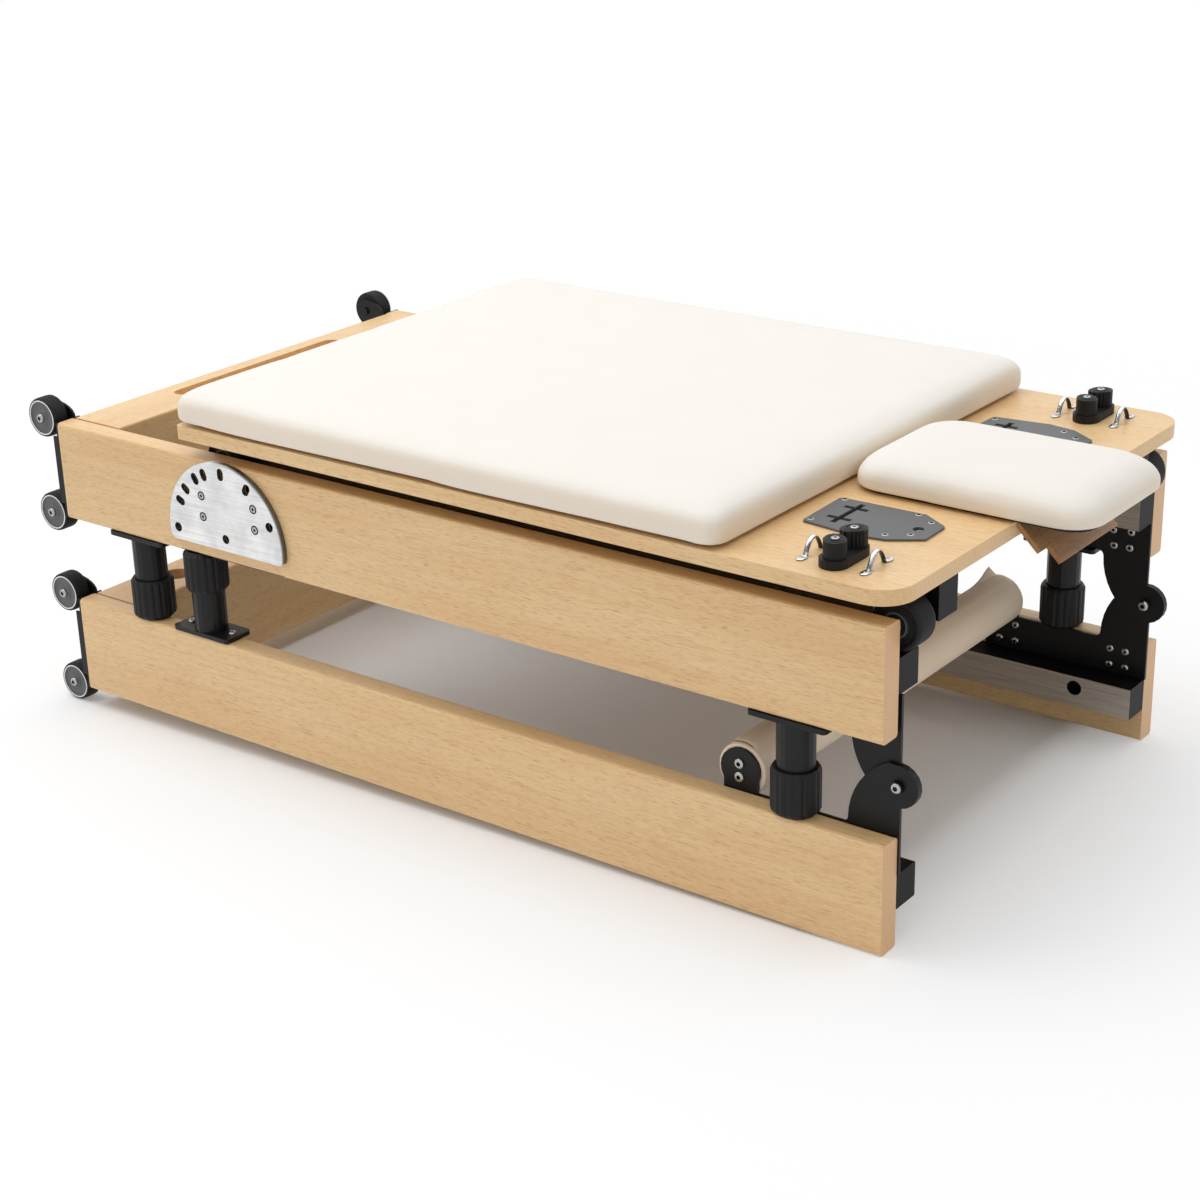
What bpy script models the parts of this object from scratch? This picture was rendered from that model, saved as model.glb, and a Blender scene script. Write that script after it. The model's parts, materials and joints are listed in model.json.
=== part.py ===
"""Folding pilates reformer, folded for storage.

Two wooden half frames are hinged at one end. The head half lies below, upside down, the foot half
lies above it on its legs, and the padded carriage is parked on the foot half's tracks. The model is
laid out level and in metres: X runs towards the hinge end, Y across, and Z up from the underside of
the head half. The whole then tips a little towards the hinge end, because folded it stands on two
transport wheels and on the hinge end of the head half's rails.
"""

import math

import bmesh
import bpy
from mathutils import Matrix, Vector

NAME = "folding_pilates_reformer"

# Fits
CLEAR = 0.0003
RUNNING_FIT = 0.0003
SLIDING_FIT = 0.0004

# Half frames
HALF_LENGTH = 1.270
HALF_WIDTH = 0.680
RAIL_HEIGHT = 0.134
RAIL_THICK = 0.030
RAIL_EASE = 0.004
FOLD_GAP = 0.118
HEAD_OVERHANG = 0.003
UNFOLDED_GAP = 0.0004
END_BLOCK_DEPTH = 0.087
END_BLOCK_EASE = 0.0025

# Groove in the foot half's end block
GROOVE_LENGTH = 0.320
GROOVE_WIDTH = 0.026
GROOVE_DEPTH = 0.020
GROOVE_FROM_END = 0.038

# Riser post holes through the head half's end block
RISER_HOLE_RADIUS = 0.020
RISER_HOLE_FROM_RAIL = 0.111
RISER_HOLE_FROM_END = 0.042

# Tracks
TRACK_WIDTH = 0.040
TRACK_HEIGHT = 0.042
TRACK_DROP = 0.045
TRACK_EASE = 0.0015
TRACK_HOLE_RADIUS = 0.010
TRACK_HOLE_FROM_END = 0.077
TRACK_HOLE_DEPTH = 0.030
TRACK_HOLE_OFF_CENTRE = 0.005

# Fold hinge: each plate is given from the pivot, X along the frame and H towards its own half
PLATE_THICK = 0.004
PLATE_LENGTH = 0.2227
PLATE_REACH = 0.105
PLATE_PAST_RAIL = 0.002
PLATE_STEP = 0.0005
NOSE_RADIUS = 0.025
CHEEK_RADIUS = 0.088
CHEEK_CENTRE = (0.0273, 0.053)
PLATE_FILLET = 0.007
EAR_RADIUS = 0.026
EAR_FROM_PIVOT = (-0.2010, 0.035)
SPACER_STEP = 0.002
SPACER_SETBACK = 0.009
PIVOT_RADIUS = 0.004
PIVOT_HEAD_RADIUS = 0.0075
PIVOT_HEAD_THICK = 0.0045

# Padded bar between the ears
BAR_RADIUS = 0.0315
BAR_END_GAP = 0.0007
BAR_BELOW_EAR = 0.002

# Legs
LEG_FROM_OUTSIDE = 0.0215
FOOT_LEG_FROM_BLOCK_END = 0.132
FOOT_LEG_FROM_HINGE_END = 0.120
HEAD_LEG_FROM_BLOCK_END = 0.237
FLANGE_LENGTH = 0.100
FLANGE_WIDTH = 0.045
FLANGE_THICK = 0.006
FLANGE_CORNER = 0.005
LEG_RADIUS = 0.022
LEVELLER_RADIUS = 0.0285
LEVELLER_HEIGHT = 0.055
LEVELLER_RIM = 0.004
LEVELLER_EDGE = 0.005
LEVELLER_FLOOR = 0.015
LEVELLER_TRAVEL = 0.010
LEVELLER_SPARE = 0.0025
LEVELLER_RIBS = 18
LEVELLER_RIB_DEPTH = 0.0012

# Transport wheels
WHEEL_RADIUS = 0.027
WHEEL_WIDTH = 0.024
WHEEL_FROM_OUTSIDE = 0.0165
AXLE_FROM_END = 0.0366
AXLE_RADIUS = 0.004
AXLE_HEAD_RADIUS = 0.006
AXLE_HEAD_THICK = 0.003
WHEEL_RING_RADIUS = 0.0210
WHEEL_HUB_RADIUS = 0.010
WHEEL_DISH = 0.0025
WHEEL_EDGE = 0.003
BRACKET_THICK = 0.003
BRACKET_WIDTH = 0.040
EAR_PLATE_FROM_OUTSIDE = 0.034
LUG_RADIUS = 0.018
LUG_NECK = 0.010
LIP_DEPTH = 0.0085
LIP_FROM_AXLE = 0.020

# Footbar plates
FOOTBAR_FROM_BLOCK_END = 0.3126
FOOTBAR_ABOVE_RAIL = 0.035
FOOTBAR_RADIUS = 0.1015
FOOTBAR_CHORD = 0.0165
FOOTBAR_CORNER = 0.010
FOOTBAR_THICK = 0.006
FOOTBAR_SLOT_RING = 0.0865
FOOTBAR_SLOT_WIDTH = 0.0105
FOOTBAR_SLOT_LENGTH = 0.0165
FOOTBAR_SLOT_ANGLES = (90, 111, 123, 140, 154)
FOOTBAR_LOCK_ANGLE = 59.4
FOOTBAR_LOCK_WIDTH = 0.0115
FOOTBAR_HOLE_ANGLES = (22, 180)
FOOTBAR_HOLE_RADIUS = 0.0065
FOOTBAR_AXLE_HOLE_RADIUS = 0.0062
FOOTBAR_POCKET_DEPTH = 0.012

# Carriage
BOARD_LENGTH = 1.044
BOARD_PAST_HINGE_END = 0.0165
BOARD_PAST_RAILS = 0.0095
BOARD_THICK = 0.018
BOARD_ABOVE_RAILS = 0.024
BOARD_CORNER = 0.040
BOARD_SMALL_CORNER = 0.006
BOARD_EASE = 0.002
TUBE_WIDTH = 0.040
TUBE_HEIGHT = 0.044
TUBE_TO_WHEEL = 0.010
TUBE_INSET = 0.003
TUBE_EASE = 0.002
CROSS_TUBE_FROM_END = 0.110
CARRIAGE_WHEEL_RADIUS = 0.0303
CARRIAGE_WHEEL_WIDTH = 0.036
CARRIAGE_WHEEL_OFF_TRACK = 0.0077
CARRIAGE_WHEEL_FROM_END = 0.0285
CARRIAGE_WHEEL_RING = 0.0135
CARRIAGE_AXLE_RADIUS = 0.005
CARRIAGE_AXLE_HEAD = 0.008

# Cushions: each layer is an inset from the widest outline and a height
CUSHION_LENGTH = 0.829
CUSHION_PAST_BOARD = 0.002
CUSHION_LEFT_OVERHANG = 0.003
CUSHION_CORNER = 0.017
CUSHION_LAYERS = (
    (0.004, 0.0), (0.0, 0.004), (0.0, 0.026), (0.002, 0.033), (0.006, 0.038), (0.012, 0.0425),
    (0.022, 0.046), (0.042, 0.0495), (0.065, 0.0515), (0.110, 0.053),
)
HEADREST_ON_BOARD = 0.2105
HEADREST_LENGTH = 0.302
HEADREST_WIDTH = 0.207
HEADREST_CORNER = 0.0385
HEADREST_LAYERS = (
    (0.006, 0.0), (0.0, 0.004), (0.0, 0.0095), (0.0017, 0.0182), (0.0067, 0.0263), (0.0146, 0.0332),
    (0.025, 0.0385), (0.037, 0.0419), (0.055, 0.0432),
)
HEADREST_BOARD_INSET = 0.0095
HEADREST_BOARD_THICK = 0.0022
PAD_LIFT = 0.0003

# Headrest prop: a plank hinged under the headrest that hangs against the end of the board
PROP_WIDTH = 0.1806
PROP_TONGUE_WIDTH = 0.1380
PROP_SHOULDER = 0.0406
PROP_LENGTH = 0.0628
PROP_THICK = 0.006
PROP_SLOPE = math.radians(44.4)
PROP_HINGE_GAP = 0.001

# Shoulder rest plates, one outline point a corner: X from the board's hinge end, and Y
SHOULDER_THICK = 0.0025
SHOULDER_CORNER = 0.004
SHOULDER_OUTLINE = (
    (-0.1935, 0.2195), (-0.1965, 0.1340), (-0.0885, 0.1320), (-0.0530, 0.1540),
    (-0.0515, 0.1990), (-0.0865, 0.2220), (-0.1215, 0.2280),
)
SHOULDER_HOLE = (-0.0730, 0.1765)
SHOULDER_HOLE_RADIUS = 0.0065
SHOULDER_SLOT_X = -0.1625
SHOULDER_SLOT_Y = (0.157, 0.193)
SHOULDER_SLOT_LENGTH = 0.030
SHOULDER_SLOT_WIDTH = 0.007

# Cam cleats
CLEAT_FROM_END = 0.0955
CLEAT_WIDTH = 0.033
CLEAT_LENGTH = 0.073
CLEAT_FROM_EDGE = 0.021
CLEAT_THICK = 0.0097
CAM_SPACING = 0.042
CAM_OFF_MIDDLE = 0.001
CAM_FROM_END = 0.0947
CAM_RADIUS = 0.0128
CAM_BULGE = 0.0055
CAM_BULGE_ANGLE = 125
CAM_HEIGHT = 0.019
CAM_TEETH = 20
CAM_TOOTHED = (25, 175)
CAM_TOOTH_DEPTH = 0.0011
CAM_PIN_RADIUS = 0.003
CAM_CAP_RADIUS = 0.005
CAM_CAP_THICK = 0.0008

# Derived planes
RAIL_OUT = HALF_WIDTH / 2
RAIL_IN = RAIL_OUT - RAIL_THICK
INSIDE = RAIL_IN - CLEAR
FOOT_LEFT = -HALF_LENGTH / 2
FOOT_RIGHT = HALF_LENGTH / 2
HEAD_RIGHT = FOOT_RIGHT + HEAD_OVERHANG
HEAD_LEFT = HEAD_RIGHT - HALF_LENGTH
HEAD_TOP = RAIL_HEIGHT
FOOT_BOTTOM = HEAD_TOP + FOLD_GAP
FOOT_TOP = FOOT_BOTTOM + RAIL_HEIGHT
PIVOT = ((FOOT_RIGHT + HEAD_RIGHT + UNFOLDED_GAP) / 2, 0.0, HEAD_TOP + FOLD_GAP / 2)
TRACK_TOP = FOOT_TOP - TRACK_DROP
LEG_Y = RAIL_OUT - LEG_FROM_OUTSIDE
WHEEL_Y = RAIL_OUT - WHEEL_FROM_OUTSIDE
EAR_PLATE_Y = RAIL_OUT - EAR_PLATE_FROM_OUTSIDE
FOOT_LEGS_X = (FOOT_LEFT + FOOT_LEG_FROM_BLOCK_END, FOOT_RIGHT - FOOT_LEG_FROM_HINGE_END)
HEAD_LEG_X = HEAD_LEFT + HEAD_LEG_FROM_BLOCK_END
FOOTBAR_X = FOOT_LEFT + FOOTBAR_FROM_BLOCK_END
FOOT_AXLE_X = FOOT_LEFT - AXLE_FROM_END
HEAD_AXLE_X = HEAD_LEFT - AXLE_FROM_END
BOARD_RIGHT = FOOT_RIGHT + BOARD_PAST_HINGE_END
BOARD_LEFT = BOARD_RIGHT - BOARD_LENGTH
BOARD_EDGE = RAIL_OUT + BOARD_PAST_RAILS
BOARD_BOTTOM = FOOT_TOP + BOARD_ABOVE_RAILS
BOARD_TOP = BOARD_BOTTOM + BOARD_THICK
ON_BOARD = BOARD_TOP + CLEAR
CARRIAGE_AXLE_Z = TRACK_TOP + CLEAR + CARRIAGE_WHEEL_RADIUS
CARRIAGE_WHEEL_Y = INSIDE - TRACK_WIDTH / 2 - CARRIAGE_WHEEL_OFF_TRACK
TUBE_OUTER_Y = CARRIAGE_WHEEL_Y - CARRIAGE_WHEEL_WIDTH / 2 - TUBE_TO_WHEEL
CLEAT_Y = BOARD_EDGE - CLEAT_FROM_EDGE - CLEAT_LENGTH / 2
HEADREST_X = BOARD_RIGHT - HEADREST_ON_BOARD
HEADREST_RIGHT = HEADREST_X + HEADREST_LENGTH
HEADREST_TOP_OF_SIDE = ON_BOARD + HEADREST_BOARD_THICK + PAD_LIFT + HEADREST_LAYERS[2][1]

# The folded machine stands on its lowest wheels and on the hinge end of the head rails
TILT = math.asin(WHEEL_RADIUS / (HEAD_RIGHT - HEAD_AXLE_X))
LEFTMOST = HEAD_AXLE_X * math.cos(TILT) - WHEEL_RADIUS
RIGHTMOST = HEADREST_RIGHT * math.cos(TILT) + HEADREST_TOP_OF_SIDE * math.sin(TILT)
STAND = (-(LEFTMOST + RIGHTMOST) / 2, 0.0, HEAD_RIGHT * math.sin(TILT))

SIDES = (("near", -1), ("far", 1))
WHEEL_STEPS = 20
PIN_STEPS = 12
ROUND_STEPS = 20
CORNER_STEPS = 4


# Materials

def linear(channel):
    """One sRGB channel, 0 to 1, as a linear value."""
    if channel <= 0.04045:
        return channel / 12.92
    return ((channel + 0.055) / 1.055) ** 2.4


def finish(name, colour, roughness, metallic=0.0):
    """A plain material from an sRGB hex colour."""
    material = bpy.data.materials.new(name)
    material.use_nodes = True
    shader = material.node_tree.nodes["Principled BSDF"]
    channels = [linear(int(colour[i:i + 2], 16) / 255) for i in (0, 2, 4)]
    shader.inputs["Base Color"].default_value = (*channels, 1.0)
    shader.inputs["Roughness"].default_value = roughness
    shader.inputs["Metallic"].default_value = metallic
    material.diffuse_color = (*channels, 1.0)
    return material


def make_finishes():
    return {
        "oak": finish("oiled_pale_oak", "D9B583", 0.5),
        "brown_wood": finish("stained_brown_plywood", "5A3F2B", 0.6),
        "black_steel": finish("black_powder_coated_steel", "1B1B1C", 0.45),
        "steel": finish("brushed_stainless_steel", "A7A29A", 0.35, 1.0),
        "bright_steel": finish("bright_stainless_steel", "DADAD8", 0.3, 1.0),
        "grey_steel": finish("grey_steel_plate", "7F8184", 0.4, 0.9),
        "plastic": finish("black_ribbed_plastic", "202022", 0.5),
        "rubber": finish("black_wheel_rubber", "232324", 0.7),
        "leather": finish("cream_leather", "EFE9DC", 0.45),
    }


# Scene and parenting

def clear_scene():
    for thing in list(bpy.data.objects):
        bpy.data.objects.remove(thing, do_unlink=True)


def new_collection(name):
    collection = bpy.data.collections.new(name)
    bpy.context.scene.collection.children.link(collection)
    return collection


class Build:
    """The collections, materials and holders that every sub-part is made with."""

    def __init__(self):
        self.parts = new_collection(NAME)
        self.cutters = new_collection(NAME + "_cutters")
        self.finishes = make_finishes()
        self.origins = {}

    def holder(self, name, at, parent=None):
        """An empty that carries a body, at a point of the level layout."""
        empty = bpy.data.objects.new(name, None)
        self.parts.objects.link(empty)
        if parent is not None:
            empty.parent = parent
            empty.location = Vector(at) - self.origins[parent.name]
        self.origins[name] = Vector(at)
        return empty

    def part(self, name, mesh, finish_name, holder, at=(0, 0, 0), turn=(0, 0, 0)):
        """Place a mesh as one named piece of the machine."""
        piece = bpy.data.objects.new(name, mesh)
        if not mesh.materials:
            mesh.materials.append(self.finishes[finish_name])
        self.parts.objects.link(piece)
        piece.parent = holder
        piece.location = Vector(at) - self.origins[holder.name]
        piece.rotation_euler = turn
        return piece

    def evaluated(self, thing):
        """The mesh that an object shows, with its modifiers, as a new mesh."""
        bpy.context.view_layer.update()
        depsgraph = bpy.context.evaluated_depsgraph_get()
        mesh = bpy.data.meshes.new_from_object(thing.evaluated_get(depsgraph))
        mesh.transform(thing.matrix_world)
        return mesh

    def scratch(self, data):
        """An object outside the part's collection, for a shape that is worked on."""
        thing = bpy.data.objects.new(NAME + "_cutter", data)
        thing.hide_render = True
        thing.display_type = "WIRE"
        self.cutters.objects.link(thing)
        return thing

    def combine(self, mesh, tools, operation):
        """Join meshes to a mesh, or cut them from it, one at a time."""
        for tool in tools:
            base = self.scratch(mesh)
            other = self.scratch(tool)
            boolean = base.modifiers.new("boolean", "BOOLEAN")
            boolean.operation = operation
            boolean.solver = "EXACT"
            boolean.object = other
            mesh = self.evaluated(base)
            bpy.data.objects.remove(base)
            bpy.data.objects.remove(other)
        return mesh

    def join(self, mesh, *tools):
        return self.combine(mesh, tools, "UNION")

    def cut(self, mesh, *tools):
        return self.combine(mesh, tools, "DIFFERENCE")


# Shapes

def mesh_from(bm, name="shape"):
    mesh = bpy.data.meshes.new(name)
    bm.to_mesh(mesh)
    bm.free()
    return mesh


def box(low, high, ease=0.0, along=None, segments=2):
    """A box between two corners, its edges eased all round or only along one axis."""
    low, high = Vector(low), Vector(high)
    bm = bmesh.new()
    bmesh.ops.create_cube(bm, size=1.0)
    size = [abs(b - a) for a, b in zip(low, high)]
    bmesh.ops.scale(bm, vec=size, verts=bm.verts)
    if ease:
        edges = list(bm.edges)
        if along is not None:
            edges = [e for e in edges if abs((e.verts[0].co - e.verts[1].co)[along]) > size[along] / 2]
        bmesh.ops.bevel(bm, geom=edges, offset=ease, segments=segments, profile=0.5, affect="EDGES")
    bmesh.ops.translate(bm, vec=(low + high) / 2, verts=bm.verts)
    return mesh_from(bm)


def side_box(side, x_range, y_range, z_range, ease=0.0, along=None):
    """A box given by its distance from the centre line, on one side of the machine."""
    inner, outer = y_range[0] * side, y_range[1] * side
    low = (x_range[0], min(inner, outer), z_range[0])
    high = (x_range[1], max(inner, outer), z_range[1])
    return box(low, high, ease, along)


def cylinder(start, end, radius, steps=ROUND_STEPS):
    """A solid cylinder from one point to another."""
    start, end = Vector(start), Vector(end)
    axis = end - start
    bm = bmesh.new()
    bmesh.ops.create_cone(bm, cap_ends=True, segments=steps, radius1=radius, radius2=radius,
                          depth=axis.length)
    turn = axis.to_track_quat("Z", "Y").to_matrix().to_4x4()
    bm.transform(Matrix.Translation((start + end) / 2) @ turn)
    return mesh_from(bm)


def arc(centre, radius, start, end, steps):
    """Points on a circle between two angles in degrees."""
    points = []
    for i in range(steps + 1):
        angle = math.radians(start + (end - start) * i / steps)
        points.append((centre[0] + radius * math.cos(angle), centre[1] + radius * math.sin(angle)))
    return points


def circle(centre, radius, steps=ROUND_STEPS):
    return arc(centre, radius, 0.0, 360.0 * (steps - 1) / steps, steps - 1)


def rounded(corners, steps=CORNER_STEPS):
    """An outline from corners (x, y, radius), with an arc in each corner."""
    points = []
    count = len(corners)
    for i in range(count):
        here = Vector(corners[i][:2])
        radius = corners[i][2]
        back = (Vector(corners[i - 1][:2]) - here).normalized()
        ahead = (Vector(corners[(i + 1) % count][:2]) - here).normalized()
        half = back.angle(ahead) / 2
        if radius == 0.0:
            points.append(tuple(here))
            continue
        reach = radius / math.tan(half)
        centre = here + (back + ahead).normalized() * radius / math.sin(half)
        first = here + back * reach - centre
        last = here + ahead * reach - centre
        sweep = first.angle_signed(last)
        for k in range(steps + 1):
            turned = first.copy()
            turned.rotate(Matrix.Rotation(-sweep * k / steps, 2))
            points.append(tuple(centre + turned))
    return points


def rectangle(x_range, y_range, radius, steps=CORNER_STEPS):
    low_x, high_x = x_range
    low_y, high_y = y_range
    corners = ((low_x, low_y, radius), (high_x, low_y, radius),
               (high_x, high_y, radius), (low_x, high_y, radius))
    return rounded(corners, steps)


def slot(centre, length, width, angle, steps=CORNER_STEPS):
    """A slot with round ends, its long way at an angle in degrees."""
    reach = (length - width) / 2
    heading = math.radians(angle)
    along = Vector((math.cos(heading), math.sin(heading))) * reach
    middle = Vector(centre)
    points = arc(tuple(middle + along), width / 2, angle - 90, angle + 90, 2 * steps)
    points += arc(tuple(middle - along), width / 2, angle + 90, angle + 270, 2 * steps)
    return points


def plate(build, outlines, thick, start, upright=False):
    """A flat plate from its outline and the outlines of its holes.

    A lying plate starts at a height and grows up. An upright one lies in XZ, starts at a Y and grows
    by its thickness, which is negative towards the near side.
    """
    curve = bpy.data.curves.new("outline", "CURVE")
    curve.dimensions = "2D"
    curve.fill_mode = "BOTH"
    curve.extrude = abs(thick) / 2
    for outline in outlines:
        spline = curve.splines.new("POLY")
        spline.points.add(len(outline) - 1)
        for point, (x, y) in zip(spline.points, outline):
            point.co = (x, y, 0.0, 1.0)
        spline.use_cyclic_u = True
    thing = build.scratch(curve)
    mesh = build.evaluated(thing)
    bpy.data.objects.remove(thing)
    bpy.data.curves.remove(curve)
    bm = bmesh.new()
    bm.from_mesh(mesh)
    bmesh.ops.remove_doubles(bm, verts=bm.verts, dist=0.00001)
    bmesh.ops.recalc_face_normals(bm, faces=bm.faces)
    middle = start + thick / 2
    if upright:
        bm.transform(Matrix.Translation((0, middle, 0)) @ Matrix.Rotation(math.pi / 2, 4, "X"))
    else:
        bm.transform(Matrix.Translation((0, 0, middle)))
    bm.to_mesh(mesh)
    bm.free()
    return mesh


def eased(build, mesh, width, segments=2):
    """Ease the rims of a flat piece, and leave its rounded corners as they are."""
    thing = build.scratch(mesh)
    bevel = thing.modifiers.new("ease", "BEVEL")
    bevel.width = width
    bevel.segments = segments
    bevel.limit_method = "ANGLE"
    bevel.angle_limit = math.radians(50)
    result = build.evaluated(thing)
    bpy.data.objects.remove(thing)
    return result


def turned(build, profile, steps):
    """A turned ring from a closed profile of (radius, height), top to bottom on its outer side."""
    bm = bmesh.new()
    verts = [bm.verts.new((radius, 0.0, height)) for radius, height in profile]
    for first, second in zip(verts, verts[1:] + verts[:1]):
        bm.edges.new((first, second))
    thing = build.scratch(mesh_from(bm))
    screw = thing.modifiers.new("turn", "SCREW")
    screw.axis = "Z"
    screw.angle = math.tau
    screw.steps = steps
    screw.render_steps = steps
    screw.use_merge_vertices = True
    screw.merge_threshold = 0.00001
    mesh = build.evaluated(thing)
    bpy.data.objects.remove(thing)
    return mesh


def pad(x_range, half_width, base, corner, layers, steps=CORNER_STEPS):
    """A crowned cushion, lofted through rounded outlines that draw in as they rise."""
    bm = bmesh.new()
    rings = []
    for inset, height in layers:
        outline = rectangle((x_range[0] + inset, x_range[1] - inset),
                            (inset - half_width, half_width - inset), corner, steps)
        rings.append([bm.verts.new((x, y, base + height)) for x, y in outline])
    for lower, upper in zip(rings, rings[1:]):
        count = len(lower)
        for i in range(count):
            j = (i + 1) % count
            bm.faces.new((lower[i], lower[j], upper[j], upper[i]))
    bm.faces.new(list(reversed(rings[0])))
    bm.faces.new(rings[-1])
    return mesh_from(bm)


# Half frames

def add_rails_and_block(build, half, holder, left, bottom):
    """Two side rails, and the block that joins them at the end away from the hinge."""
    right = left + HALF_LENGTH
    top = bottom + RAIL_HEIGHT
    for side_name, side in SIDES:
        rail = side_box(side, (left, right), (RAIL_IN, RAIL_OUT), (bottom, top), RAIL_EASE, along=0)
        if half == "foot":
            rail = build.cut(rail, *footbar_pockets(build, side))
        build.part(f"{half}_rail_{side_name}", rail, "oak", holder)
    block = box((left, -INSIDE, bottom), (left + END_BLOCK_DEPTH, INSIDE, top), END_BLOCK_EASE, along=1)
    if half == "foot":
        groove_x = left + GROOVE_FROM_END
        groove = slot((groove_x, 0.0), GROOVE_LENGTH, GROOVE_WIDTH, 90, 2 * CORNER_STEPS)
        block = build.cut(block, plate(build, [groove], 2 * GROOVE_DEPTH, top - GROOVE_DEPTH))
    else:
        hole_x = left + RISER_HOLE_FROM_END
        riser_y = RAIL_IN - RISER_HOLE_FROM_RAIL
        for y in (-riser_y, riser_y):
            hole = cylinder((hole_x, y, bottom - CLEAR), (hole_x, y, top + CLEAR), RISER_HOLE_RADIUS, 32)
            block = build.cut(block, hole)
    build.part(f"{half}_end_block", block, "oak", holder)


def add_tracks(build, half, holder, left, z_low, hole_offset):
    """A track along each rail, from the end block to the hinge end, with a hole near that end."""
    right = left + HALF_LENGTH
    start = left + END_BLOCK_DEPTH + CLEAR
    hole_x = right - TRACK_HOLE_FROM_END
    hole_z = z_low + TRACK_HEIGHT / 2 + hole_offset
    inner = INSIDE - TRACK_WIDTH
    for side_name, side in SIDES:
        track = side_box(side, (start, right), (inner, INSIDE), (z_low, z_low + TRACK_HEIGHT),
                         TRACK_EASE, along=0)
        hole = cylinder((hole_x, side * (inner - CLEAR), hole_z),
                        (hole_x, side * (inner + TRACK_HOLE_DEPTH), hole_z), TRACK_HOLE_RADIUS)
        build.part(f"{half}_track_{side_name}", build.cut(track, hole), "steel", holder)


# Fold hinge

def hinge_outline(towards, edge, ear):
    """A hinge plate's outline in XZ; towards is -1 for the half below the pivot and 1 above it."""
    left = -PLATE_LENGTH
    step = FOLD_GAP / 2 + PLATE_STEP
    nose_start = -math.degrees(math.acos(edge / NOSE_RADIUS))
    cheek_left = CHEEK_CENTRE[0] - CHEEK_RADIUS
    points = [(left, -PLATE_REACH), (edge, -PLATE_REACH)]
    points += arc((0, 0), NOSE_RADIUS, nose_start, 96, 10)
    points += arc((CHEEK_CENTRE[0], -CHEEK_CENTRE[1]), CHEEK_RADIUS, 116.6, 180, 8)
    points += arc((cheek_left - PLATE_FILLET, -step + PLATE_FILLET), PLATE_FILLET, 0, -90, 4)
    if ear:
        lobe = arc((EAR_FROM_PIVOT[0], -EAR_FROM_PIVOT[1]), EAR_RADIUS, -26, 214, 14)
        points += [(lobe[0][0], -step)] + lobe
    else:
        points.append((left, -step))
    return [(PIVOT[0] + x, PIVOT[2] - towards * height) for x, height in points]


def add_hinge_plates(build, foot, head):
    """The head plates lie on the rails, and the foot plates inside them carry the pivot pins."""
    outer = (INSIDE - PLATE_THICK, INSIDE)
    inner = (outer[0] - CLEAR - PLATE_THICK, outer[0] - CLEAR)
    foot_edge = FOOT_RIGHT + PLATE_PAST_RAIL - PIVOT[0]
    head_edge = HEAD_RIGHT + PLATE_PAST_RAIL - PIVOT[0]
    hole = circle((PIVOT[0], PIVOT[2]), PIVOT_RADIUS + RUNNING_FIT)
    for side_name, side in SIDES:
        outline = hinge_outline(-1, head_edge, ear=True)
        head_plate = plate(build, [outline, hole], side * PLATE_THICK, side * outer[0], upright=True)
        build.part(f"head_hinge_plate_{side_name}", head_plate, "black_steel", head)

        outline = hinge_outline(1, foot_edge, ear=False)
        foot_plate = plate(build, [outline], side * PLATE_THICK, side * inner[0], upright=True)
        spacer = side_box(side, (PIVOT[0] - PLATE_LENGTH, FOOT_RIGHT - SPACER_SETBACK + PLATE_PAST_RAIL),
                          (inner[1] - PLATE_THICK / 2, INSIDE),
                          (FOOT_BOTTOM + SPACER_STEP, PIVOT[2] + PLATE_REACH))
        pin_start = (PIVOT[0], side * (inner[0] - PIVOT_HEAD_THICK), PIVOT[2])
        nut_end = (PIVOT[0], side * (inner[0] + PLATE_THICK / 2), PIVOT[2])
        head_start = (PIVOT[0], side * (INSIDE + CLEAR), PIVOT[2])
        head_end = (PIVOT[0], side * (INSIDE + CLEAR + PIVOT_HEAD_THICK), PIVOT[2])
        middle = (PIVOT[0], side * (INSIDE + CLEAR + PIVOT_HEAD_THICK / 2), PIVOT[2])
        nut = cylinder(pin_start, nut_end, PIVOT_HEAD_RADIUS, 6)
        pin = cylinder((PIVOT[0], side * inner[0], PIVOT[2]), middle, PIVOT_RADIUS)
        pin_head = cylinder(head_start, head_end, PIVOT_HEAD_RADIUS)
        foot_plate = build.join(foot_plate, spacer, nut, build.join(pin, pin_head))
        build.part(f"foot_hinge_plate_{side_name}", foot_plate, "black_steel", foot)


def add_padded_bar(build, head):
    """The leather-wrapped bar between the ears of the head plates."""
    reach = INSIDE - PLATE_THICK - BAR_END_GAP
    x = PIVOT[0] + EAR_FROM_PIVOT[0]
    z = PIVOT[2] - EAR_FROM_PIVOT[1] - BAR_BELOW_EAR
    bar = cylinder((x, -reach, z), (x, reach, z), BAR_RADIUS, 32)
    build.part("padded_bar", bar, "leather", head)


# Legs

def leg_post_mesh(build):
    """Flange and tube of one leg, hanging from the origin."""
    flange = plate(build, [rectangle((-FLANGE_LENGTH / 2, FLANGE_LENGTH / 2),
                                     (-FLANGE_WIDTH / 2, FLANGE_WIDTH / 2), FLANGE_CORNER)],
                   FLANGE_THICK, -FLANGE_THICK)
    end = FOLD_GAP - 2 * CLEAR - LEVELLER_FLOOR - LEVELLER_TRAVEL - LEVELLER_SPARE
    tube = cylinder((0, 0, -FLANGE_THICK / 2), (0, 0, -end), LEG_RADIUS, WHEEL_STEPS)
    return build.join(flange, tube)


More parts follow.
